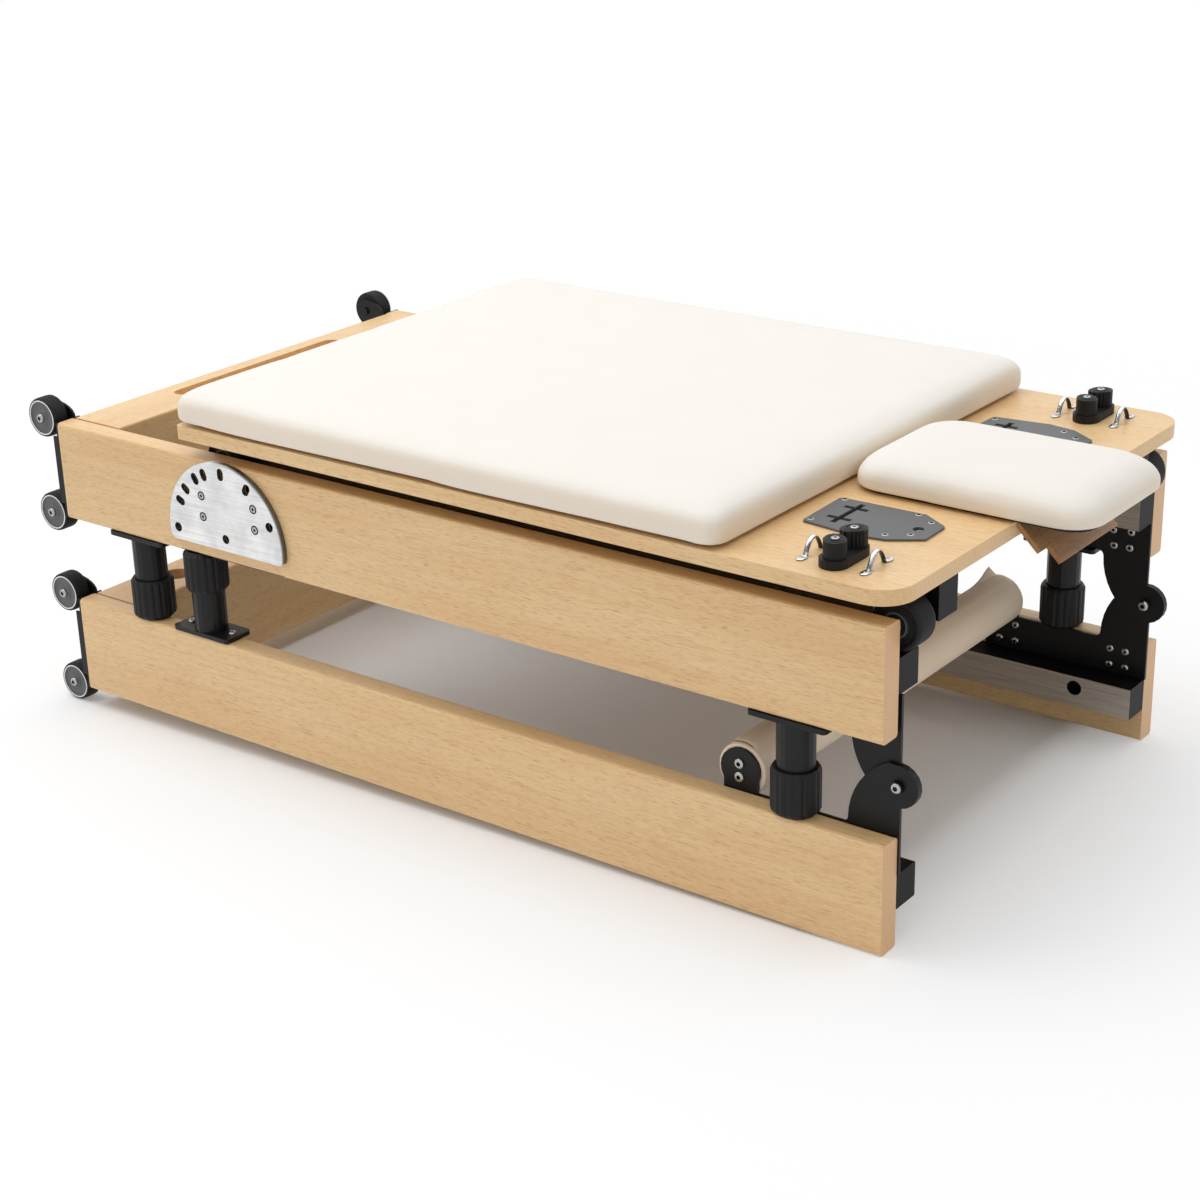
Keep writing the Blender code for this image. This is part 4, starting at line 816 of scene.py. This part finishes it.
class REFORMER_OT_wheels(bpy.types.Operator):
    """Transport wheels and carriage wheels, turned from their profiles"""

    bl_idname = "reformer.wheels"
    bl_label = "Wheels"

    def execute(self, context):
        for part, ends in WHEELS.items():
            for end in ends:
                for side, sign in SIDES:
                    self.wheel(part, f"{part}_wheel_{end}_{side}", sign)
        return {"FINISHED"}

    def wheel(self, part, node, sign):
        if part == "carriage":
            inner, outer = y_faces(node)
            shape, picks = self.carriage_wheel((outer - inner) / 2)
            names = ("wheel_rubber", "hub_ring")
        else:
            shape, picks = self.transport_wheel()
            names = ("wheel_rubber", "wheel_ring", "wheel_disc")
        made = piece(f"{node}_dressed", copies(shape, level_middle(node), (0, sign, 0)),
                [finish(name) for name in names], node, picks, sharp=30)
        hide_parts(node)

    def transport_wheel(self):
        """Profile from the bore round the tread to the dished face; the tread has three 0.4 mm lines,
        and a 47 mm ring in pale plastic lies round the grey disc."""
        tyre = [(0.0043, -0.012), (0.0238, -0.012), (0.0257, -0.0113), (0.0267, -0.0098)]
        for line in (-0.006, 0.0, 0.006):
            tyre += [(0.0270, line - 0.0016), (0.0270, line - 0.0005), (0.0266, line - 0.0002),
                     (0.0266, line + 0.0002), (0.0270, line + 0.0005)]
        tyre += [(0.0267, 0.0096), (0.0259, 0.0112), (0.0250, 0.0119), (0.0239, 0.0118)]
        ring = [(0.0236, 0.0121), (0.0224, 0.0121), (0.0221, 0.0116)]
        disc = [(0.0217, 0.0102), (0.0195, 0.0096), (0.0122, 0.0095), (0.0106, 0.0100),
                (0.0098, 0.0113), (0.0088, 0.0119), (0.0043, 0.0119), (0.0043, -0.012)]
        numbers = [0] * (len(tyre) - 1) + [1] * len(ring) + [2] * len(disc)
        return turned(tyre + ring + disc, WHEEL_STEPS), np.repeat(numbers, WHEEL_STEPS)

    def carriage_wheel(self, half):
        """A wider black wheel with rounded shoulders, a dished face and a thin grey ring on its hub."""
        shape = [(0.0053, 0.0), (0.0255, 0.0), (0.0285, 0.0012), (0.0300, 0.0038), (0.0303, 0.007)]
        back = [(radius, depth - half) for radius, depth in shape]
        front = [(0.0303, 0.007), (0.0300, 0.0038), (0.0285, 0.0012), (0.0262, 0.0002),
                 (0.0245, 0.0006), (0.0228, 0.0022), (0.0165, 0.0022), (0.0149, 0.0010),
                 (0.0145, 0.0004), (0.0128, 0.0002), (0.0124, 0.0008), (0.0053, 0.0008)]
        profile = back + [(radius, half - depth) for radius, depth in front] + [(0.0053, -half)]
        numbers = [0] * (len(profile) - 1)
        numbers[len(back) + 8] = 1
        return turned(profile, WHEEL_STEPS), np.repeat(numbers, WHEEL_STEPS)


# Cushions

class REFORMER_OT_cushions(bpy.types.Operator):
    """The carriage cushion and the headrest pad, blown up as leather over foam"""

    bl_idname = "reformer.cushions"
    bl_label = "Cushions"

    def execute(self, context):
        body = ((0.006, 0.0), (0.0015, 0.0012), (0.0, 0.005), (0.0, 0.024), (0.0012, 0.0305),
                (0.004, 0.0357), (0.0085, 0.0398), (0.016, 0.0433), (0.028, 0.0462), (0.045, 0.0484),
                (0.070, 0.0500), (0.110, 0.0512))
        head = ((0.007, 0.0), (0.002, 0.0015), (0.0, 0.005), (0.0, 0.0095), (0.0017, 0.0182),
                (0.0067, 0.0263), (0.0146, 0.0332), (0.025, 0.0385), (0.037, 0.0412), (0.055, 0.0424))
        # The last three are the corners' radius, the mesh size, and the share of the swell it may use
        for node, name, rides, layers, corner, voxel, softness in (
                ("carriage_cushion", "cushion_cover", "carriage", body, 0.019, 0.0076, 1.0),
                ("headrest_pad", "headrest_cover", "headrest", head, 0.0385, 0.0042, 0.25)):
            low, high = level_box(node)
            made = piece(name, self.block(low, high, layers, corner), [finish("cream_leather")], rides)
            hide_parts(node)
            self.swell(context, made, low, high, corner, voxel, softness)
        return {"FINISHED"}

    def block(self, low, high, layers, corner):
        """The foam: a rounded outline for each (inset, height) of its layers, closed above and below."""
        rings = []
        for inset, height in layers:
            outline = rounded_outline((low[0] + inset, high[0] - inset),
                                      (low[1] + inset, high[1] - inset), corner)
            rings.append(np.column_stack((outline, np.full(len(outline), low[2] + height))))
        x, y, _ = (low + high) / 2
        return lofted(rings, (x, y, low[2]), (x, y, high[2]))

    def settle(self, level, low, high, corner):
        """Sets the foot of the pad square on its board: with d the depth inside its rounded outline
        and w falling from 1 at 6 mm high to 0 at 18 mm, d becomes d + w (d^2 / 12 mm - d)."""
        middle, half = (low[:2] + high[:2]) / 2, (high[:2] - low[:2]) / 2
        away = level[:, :2] - middle
        past = np.abs(away) - (half - corner)
        outside = np.maximum(past, 0.0)
        length = np.linalg.norm(outside, axis=1)
        depth = corner - length
        normal = np.sign(away) * outside / np.maximum(length, 1e-9)[:, None]
        share = np.clip((0.018 - (level[:, 2] - low[2])) / 0.012, 0, 1)
        move = np.where((depth > 0) & (depth < 0.012), depth - depth ** 2 / 0.012, 0.0) * share
        level[:, :2] += normal * move[:, None]
        return level

    def swell(self, context, made, low, high, corner, voxel, softness):
        """Cloth under pressure: each point moves out by at most the swell, and then the whole is
        scaled back into the pad's box."""
        settings = context.scene.reformer_cushions
        self.apply(made, "REMESH", mode="VOXEL", voxel_size=voxel)
        before = points_of(made.data)
        cloth = made.modifiers.new("leather", "CLOTH")
        cloth.settings.use_pressure = True
        cloth.settings.uniform_pressure_force = settings.pressure
        cloth.settings.effector_weights.gravity = 0.0
        cloth.settings.quality = 4
        cloth.settings.tension_stiffness = cloth.settings.compression_stiffness = 25.0
        cloth.settings.bending_stiffness = 2.0
        cloth.point_cache.frame_start, cloth.point_cache.frame_end = 1, settings.steps
        for number in range(1, settings.steps + 1):
            context.scene.frame_set(number)
        shown = made.evaluated_get(context.evaluated_depsgraph_get())
        move = points_of(shown.data) - before
        made.modifiers.remove(cloth)
        context.scene.frame_set(1)
        far = np.linalg.norm(move, axis=1, keepdims=True)
        move *= np.minimum(1.0, settings.swell * softness / np.maximum(far, 1e-9))
        set_points(made.data, before + move)
        self.apply(made, "SMOOTH", factor=0.5, iterations=5)
        self.apply(made, "SUBSURF", levels=1, render_levels=1)
        level = to_level(points_of(made.data))
        now_low, now_high = level.min(0), level.max(0)
        level = low + (level - now_low) * (high - low) / (now_high - now_low)
        set_points(made.data, to_world(self.settle(level, low, high, corner)))
        made.data.shade_smooth()

    def apply(self, made, kind, **settings):
        """Adds a modifier and turns its result into the mesh."""
        modifier = made.modifiers.new(kind.lower(), kind)
        for name, value in settings.items():
            setattr(modifier, name, value)
        bpy.context.view_layer.update()
        shown = made.evaluated_get(bpy.context.evaluated_depsgraph_get())
        mesh = bpy.data.meshes.new_from_object(shown)
        made.modifiers.clear()
        old = made.data
        made.data = mesh
        bpy.data.meshes.remove(old)
        if not mesh.materials:
            mesh.materials.append(finish("cream_leather"))


LEATHER = 0.0013  # its thickness
FLAP_ROWS, FLAP_COLUMNS = 72, 26


class REFORMER_OT_bar(bpy.types.Operator):
    """The leather-wrapped bar with its loose flap"""

    bl_idname = "reformer.bar"
    bl_label = "Wrapped bar"

    def execute(self, context):
        low, high = level_box("padded_bar")
        centre = level_middle("padded_bar")
        radius = (high[2] - low[2]) / 2
        core = self.core(centre, radius, low[1], high[1])
        made = piece("bar_cover", core, [finish("tan_leather")], "head_frame")
        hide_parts("padded_bar")
        flap, size = self.flap(centre, radius, low[1] + 0.004, high[1] - 0.004)
        sheet = piece("bar_flap", flap, [finish("tan_leather"), finish("cut_leather")], "head_frame")
        wall = sheet.modifiers.new("thickness", "SOLIDIFY")
        wall.thickness = LEATHER
        wall.offset = 1.0
        wall.use_even_offset = True
        wall.material_offset_rim = 1
        return {"FINISHED"}

    def core(self, centre, radius, start, end):
        """A roll with softly rounded ends: r(y) falls off in the last 3 mm, dips 0.5 mm at the seam
        5 mm in, and is full between."""
        edge = np.array((0.0, 0.0, 0.0006, 0.0016, 0.003, 0.0046, 0.0052, 0.0058, 0.0074))
        share = np.array((0.0, 0.93, 0.975, 0.991, 0.996, 0.994, 0.982, 0.994, 1.0))
        y = np.concatenate((start + edge, np.linspace(start + 0.02, end - 0.02, 40),
                            (end - edge)[::-1]))
        r = radius * np.concatenate((share, np.ones(40), share[::-1]))
        points, faces = turned(np.stack((r, y), -1), 72)
        level = np.stack((centre[0] + points[:, 0], points[:, 2], centre[2] + points[:, 1]), -1)
        return level, faces

    def flap(self, centre, radius, start, end):
        """The free edge of the wrap, from u = 0 on the roll to u = 1 at its cut edge. Its angle goes
        from 58 to 105 degrees on the roll and on to 114 free of it, where it stands off by
        lift(v) free^1.5; lift is 1 mm along the roll and grows to 13 mm at the far corner. It starts
        tucked 1.9 mm into the roll. Also its flat size, from the lengths of its own rows and
        columns."""
        v = np.linspace(0.0, 1.0, FLAP_ROWS)[:, None]
        u = np.linspace(0.0, 1.0, FLAP_COLUMNS)[None]
        held = np.clip(u / 0.6, 0, 1)
        free = np.clip((u - 0.6) / 0.4, 0, 1)
        angle = np.radians(58 + 47 * held + 9 * free) + 0 * v
        lift = 0.0010 + 0.0120 * np.clip((v - 0.905) / 0.09, 0, 1) ** 1.6
        tuck = 0.0019 * (1 - np.clip(u / 0.45, 0, 1)) ** 2
        reach = radius + 0.0003 + 0.0003 * held - tuck + lift * free ** 1.5
        y = start + (end - 0.003 * free ** 2 - start) * v
        points = np.stack((centre[0] + reach * np.cos(angle), y, centre[2] + reach * np.sin(angle)), -1)
        across = np.linalg.norm(np.diff(points, axis=1), axis=2).sum(1).mean()
        along = np.linalg.norm(np.diff(points, axis=0), axis=2).sum(0).mean()
        flap = (points.reshape(-1, 3), quads(FLAP_ROWS, FLAP_COLUMNS))
        return flap, (float(across), float(along))


# Screws and bolts

# Places of screws: X and Z on side faces, X and Y on the shoulder plates
HEAD_PLATE_SCREWS = ((0.591, 0.121), (0.612, 0.1207), (0.591, 0.099), (0.6125, 0.0985),
                     (0.457, 0.122), (0.4346, 0.0996), (0.4573, 0.0997))
FOOT_PLATE_SCREWS = ((0.590, 0.263), (0.611, 0.2635), (0.588, 0.2835), (0.612, 0.2845))
EAR_SCREWS = ((0.4354, 0.1654), (0.4354, 0.1490))
FOOTBAR_SCREWS = ((-0.3605, 0.3385), (-0.3605, 0.3104), (-0.2686, 0.3381), (-0.2686, 0.3104))
SHOULDER_SCREWS = ((0.4625, 0.1376), (0.4634, 0.2110), (0.5564, 0.1368), (0.5802, 0.1514),
                   (0.5570, 0.2105), (0.5798, 0.1957))
PIVOT_FACE = 0.3100  # Y of the outer face under the pivot bolts
SCREW_TURN = 0.3  # how far the sockets are turned, in radians


def on_side(places, sign, face, facing=1):
    """Places (x, z) on a face square to Y, and the way that it looks: outwards, or inwards with -1."""
    return [(x, sign * face, z) for x, z in places], (0, sign * facing, 0)


def screw_row(name, screw, groups, body, spin=SCREW_TURN):
    """One zinc-plated piece from copies of a screw: groups are (places, way) pairs."""
    shape = joined(*(copies(screw, places, way, spin) for places, way in groups))
    piece(name, shape, [finish("zinc_plate"), finish("socket_shade")], body, socket_picks(shape),
            sharp=50)


class REFORMER_OT_screws(bpy.types.Operator):
    """Socket screws and bolts on hinge plates, wheels, footbar plates, shoulder plates and legs"""

    bl_idname = "reformer.screws"
    bl_label = "Screws and bolts"

    def execute(self, context):
        s = context.scene.reformer_hardware
        button = socket_screw(s.button_radius, 0.0026, 0.0022, 0.0015)
        self.hinge_plates(button)
        self.pivots()
        self.wheel_bolts(socket_screw(s.bolt_radius, 0.0042, 0.0030, 0.0024))
        self.footbar()
        self.shoulders()
        self.flanges(button)
        return {"FINISHED"}

    def hinge_plates(self, button):
        """The ears' outer face lies 4 mm outside the head plates' inner one, and the foot plates' screws
        sit 4.5 mm outside theirs."""
        large = socket_screw(0.0064, 0.0030, 0.0028, 0.0020)
        for side, sign in SIDES:
            head = y_faces(f"head_hinge_plate_{side}")[0]
            foot = y_faces(f"foot_hinge_plate_{side}")[0]
            screw_row(f"head_plate_screws_{side}", button, [on_side(HEAD_PLATE_SCREWS, sign, head, -1)],
                    "head_frame")
            screw_row(f"ear_screws_{side}", large, [on_side(EAR_SCREWS, sign, head + 0.004)],
                    "head_frame")
            screw_row(f"foot_plate_screws_{side}", button,
                    [on_side(FOOT_PLATE_SCREWS, sign, foot + 0.0045, -1)], "foot_frame")

    def pivots(self):
        """Domed pivot bolts of the fold hinge, on both faces of the plates."""
        bolt = socket_screw(0.0068, 0.0058, 0.0030, 0.0034)
        for side, sign in SIDES:
            inside = y_faces(f"foot_hinge_plate_{side}")[0]
            screw_row(f"pivot_bolts_{side}", bolt, [on_side([FOLD_PIVOT], sign, PIVOT_FACE),
                    on_side([FOLD_PIVOT], sign, inside, -1)], "foot_frame")

    def wheel_bolts(self, bolt):
        """One in the middle of each wheel, 0.1 mm off its outer face."""
        large = socket_screw(0.0084, 0.0040, 0.0030, 0.0022)
        for part, ends in WHEELS.items():
            groups = []
            for side, sign in SIDES:
                places = []
                for end in ends:
                    node = f"{part}_wheel_{end}_{side}"
                    x, _, z = level_middle(node)
                    places.append((x, sign * (y_faces(node)[1] + 0.0001), z))
                groups.append((places, (0, sign, 0)))
            if part == "carriage":
                screw_row("carriage_wheel_bolts", large, groups, "carriage")
            else:
                screw_row(f"{part}_wheel_bolts", bolt, groups, f"{part}_frame")

    def footbar(self):
        """Flat screws, each in the painted shadow of its countersink: a dark disc of 12.2 mm."""
        flat = socket_screw(0.0045, 0.0005, 0.0021, 0.0004)
        # Painted shadow of each countersink: a dark disc
        countersink_shadow = turned(((0.0, 0.0001), (0.0061, 0.0001), (0.0061, 0.0002), (0.0, 0.0002)), 32)
        for side, sign in SIDES:
            group = on_side(FOOTBAR_SCREWS, sign, y_faces(f"footbar_plate_{side}")[1])
            screw_row(f"footbar_screws_{side}", flat, [group], "foot_frame")
            piece(f"footbar_countersinks_{side}", copies(countersink_shadow, *group), [finish("socket_shade")],
                    "foot_frame")

    def shoulders(self):
        """Screws on the shoulder plates, and what shows through their openings."""
        flat = socket_screw(0.0042, 0.0005, 0.0026, 0.0004)
        low, high = level_box("shoulder_plate_near")
        board = level_box("carriage_board")[1][2]
        for side, sign in SIDES:
            places = [(x, sign * y, high[2]) for x, y in SHOULDER_SCREWS]
            screw_row(f"shoulder_screws_{side}", flat, [(places, UP)], "carriage")
            self.dark_patches(side, sign, low, high, board)

    def dark_patches(self, side, sign, low, high, board):
        """Near-black patches on the board under the shoulder plate, seen through its hole and slots: two
        rectangles 0.1 mm thick, and the pale head of a screw in the hole."""
        patches = []
        for x0, x1, y0, y1 in ((low[0] + 0.008, low[0] + 0.060, 0.136, 0.216),
                               (high[0] - 0.031, high[0] - 0.012, 0.167, 0.187)):
            x, y = np.meshgrid((x0, x1), sorted((sign * y0, sign * y1)), indexing="ij")
            for height in (0.00005, 0.00015):
                patches.append((np.stack((x, y, np.full((2, 2), board + height)), -1).reshape(-1, 3),
                                quads(2, 2)))
        piece(f"shoulder_dark_patches_{side}", joined(*patches), [finish("socket_shade")], "carriage")
        screw_row(f"shoulder_hole_screw_{side}", socket_screw(0.0042, 0.0008, 0.0016, 0.0005),
                [([(high[0] - 0.0200, sign * 0.1765, board + 0.0002)], UP)], "carriage")

    def flanges(self, button):
        """Two on each leg's 6 mm flange, on the face that the leg stands on."""
        for node, body, way in (("foot_leg_end", "foot_frame", -1), ("foot_leg_hinge", "foot_frame", -1),
                                ("head_leg", "head_frame", 1)):
            groups = []
            for side, _ in SIDES:
                low, high = level_box(f"{node}_{side}")
                x, y, _ = (low + high) / 2
                face = (high[2] - 0.006) if way < 0 else (low[2] + 0.006)
                groups.append(([(x + off, y, face) for off in (-0.038, 0.038)], (0, 0, way)))
            screw_row(f"{node}_screws", button, groups, body)


# Rope guides and cleats

GUIDE_STEPS = 81
GUIDE_FOOT = 0.0232  # from the middle of a guide to the screws in its feet
CARRIER_LINE = 0.2563  # Y of the wheel carriers


class REFORMER_OT_rope_hardware(bpy.types.Operator):
    """Chrome rope guides, the cleats' caps and ridges, and the wheel carriers"""

    bl_idname = "reformer.rope_hardware"
    bl_label = "Rope guides"

    def execute(self, context):
        settings = context.scene.reformer_hardware
        board = level_box("carriage_board")[1][2]
        small = socket_screw(0.0024, 0.0006, 0.0011, 0.0005)
        for side, sign in SIDES:
            guides, feet = [], []
            for x in (0.517, 0.5945):
                guides.append(self.guide(x, sign * CLEAT_LINE, board, settings.wire))
                feet += [(x, sign * (CLEAT_LINE + off), board + 0.0017)
                         for off in (-GUIDE_FOOT, GUIDE_FOOT)]
            piece(f"rope_guides_{side}", joined(*guides), [finish("bright_chrome")], "carriage",
                    sharp=60)
            screw_row(f"rope_guide_screws_{side}", small, [(feet, UP)], "carriage", 0.0)
            self.caps(side)
            self.ridges(side)
            self.carrier(side, sign)
        return {"FINISHED"}

    def ridges(self, side):
        """Two turned ridges, 0.7 mm high, round the cap on each cam."""
        shape = turned(((0.0052, 0.0), (0.0056, 0.0007), (0.0076, 0.0007), (0.0080, 0.0001),
                        (0.0086, 0.0001), (0.0090, 0.0007), (0.0108, 0.0007), (0.0114, 0.0)), 40)
        for which in ("inner", "outer"):
            node = f"cleat_cam_{which}_{side}"
            low, high = level_box(node)
            pin = level_middle(f"cleat_base_{side}")[0]
            place = (pin, (low[1] + high[1]) / 2, high[2] - 0.00005)
            piece(f"{node}_ridges", copies(shape, place), [finish("black_nylon")], node,
                    sharp=30)

    def carrier(self, side, sign):
        """The flat bar on each carriage tube's outer face that carries the wheels. Its brown tone is
        painted
        shade: it gives the brownish shade seen in the gap under the board's near edge.
        """
        low, high = level_box("carriage_underframe")
        y = sign * CARRIER_LINE
        outline = rounded_outline((y - 0.0020, y + 0.0020), (low[2] - 0.0105, high[2] - 0.0010),
                                  0.0008, 4)
        ends = [np.column_stack((np.full(len(outline), x), outline))
                for x in (low[0] + 0.002, high[0] - 0.076)]
        piece(f"wheel_carrier_{side}", lofted(ends, ends[0].mean(0), ends[1].mean(0)),
                [finish("brown_shade_steel")], "carriage", sharp=30)

    def guide(self, x, y, board, wire):
        """A bent flat bar in the YZ plane: z(s) = height (1 - (|s| / 15 mm)^1.8)^0.8 and flat beyond,
        its section widening from 6 mm to a flat oval foot 10 mm wide."""
        s = np.linspace(-0.0305, 0.0305, GUIDE_STEPS)
        rise = np.clip(1 - (np.abs(s) / 0.0150) ** 1.8, 0, 1) ** 0.8
        foot = np.clip((np.abs(s) - 0.0140) / 0.006, 0, 1)
        foot = foot * foot * (3 - 2 * foot)
        end = np.sqrt(np.clip(1 - ((np.abs(s) - GUIDE_FOOT) / 0.0073) ** 2, 0, 1))
        end = np.where(np.abs(s) > GUIDE_FOOT, end, 1.0)
        deep = (0.66 * wire + (0.0009 - 0.66 * wire) * foot) * np.maximum(end, 0.35)
        wide = (1.25 * wire + (0.0050 - 1.25 * wire) * foot) * end
        path = np.stack((x + 0 * s, y + s, board + 0.0011 + 0.0172 * rise), -1)
        deep[[0, -1]] = 0.0
        wide[[0, -1]] = 0.0
        return swept(path, (1.0, 0.0, 0.0), wide, deep)

    def caps(self, side):
        """Light pin heads on the cams."""
        top = level_box(f"cleat_base_{side}")[1][2]
        places = []
        for which in ("inner", "outer"):
            x, y, _ = level_middle(f"cleat_cam_{which}_{side}")
            places.append((x, y, top))
        screw_row(f"cleat_pins_{side}", socket_screw(0.0047, 0.0010, 0.0019, 0.0009), [(places, UP)],
                "carriage", 0.0)


class REFORMER_PT_dressing(bpy.types.Panel):
    """Shows the dressing's settings and the buttons of its operators"""

    bl_label = "Reformer dressing"
    bl_idname = "REFORMER_PT_dressing"
    bl_space_type = "VIEW_3D"
    bl_region_type = "UI"
    bl_category = "Reformer"

    def draw(self, context):
        scene = context.scene
        for settings, operators in (
                (scene.reformer_stage, (REFORMER_OT_stage,)),
                (scene.reformer_timber, (REFORMER_OT_timber, REFORMER_OT_metalwork)),
                (scene.reformer_cushions, (REFORMER_OT_cushions, REFORMER_OT_bar)),
                (scene.reformer_hardware, (REFORMER_OT_wheels, REFORMER_OT_screws,
                                           REFORMER_OT_rope_hardware))):
            box = self.layout.box()
            for name in settings.__annotations__:
                box.prop(settings, name)
            for operator in operators:
                box.operator(operator.bl_idname)


SETTINGS = {"reformer_stage": StageSettings, "reformer_timber": TimberSettings,
            "reformer_cushions": CushionSettings, "reformer_hardware": HardwareSettings}
OPERATORS = (REFORMER_OT_stage, REFORMER_OT_timber, REFORMER_OT_metalwork, REFORMER_OT_wheels,
             REFORMER_OT_cushions, REFORMER_OT_bar, REFORMER_OT_screws, REFORMER_OT_rope_hardware)


def register():
    for kind in (*SETTINGS.values(), *OPERATORS, REFORMER_PT_dressing):
        bpy.utils.register_class(kind)
    for name, kind in SETTINGS.items():
        setattr(bpy.types.Scene, name, PointerProperty(type=kind))


def unregister():
    for name in SETTINGS:
        delattr(bpy.types.Scene, name)
    for kind in reversed((*SETTINGS.values(), *OPERATORS, REFORMER_PT_dressing)):
        bpy.utils.unregister_class(kind)


def main():
    register()
    for operator in OPERATORS:
        getattr(bpy.ops.reformer, operator.bl_idname.split(".")[1])()


if __name__ == "__main__":
    main()
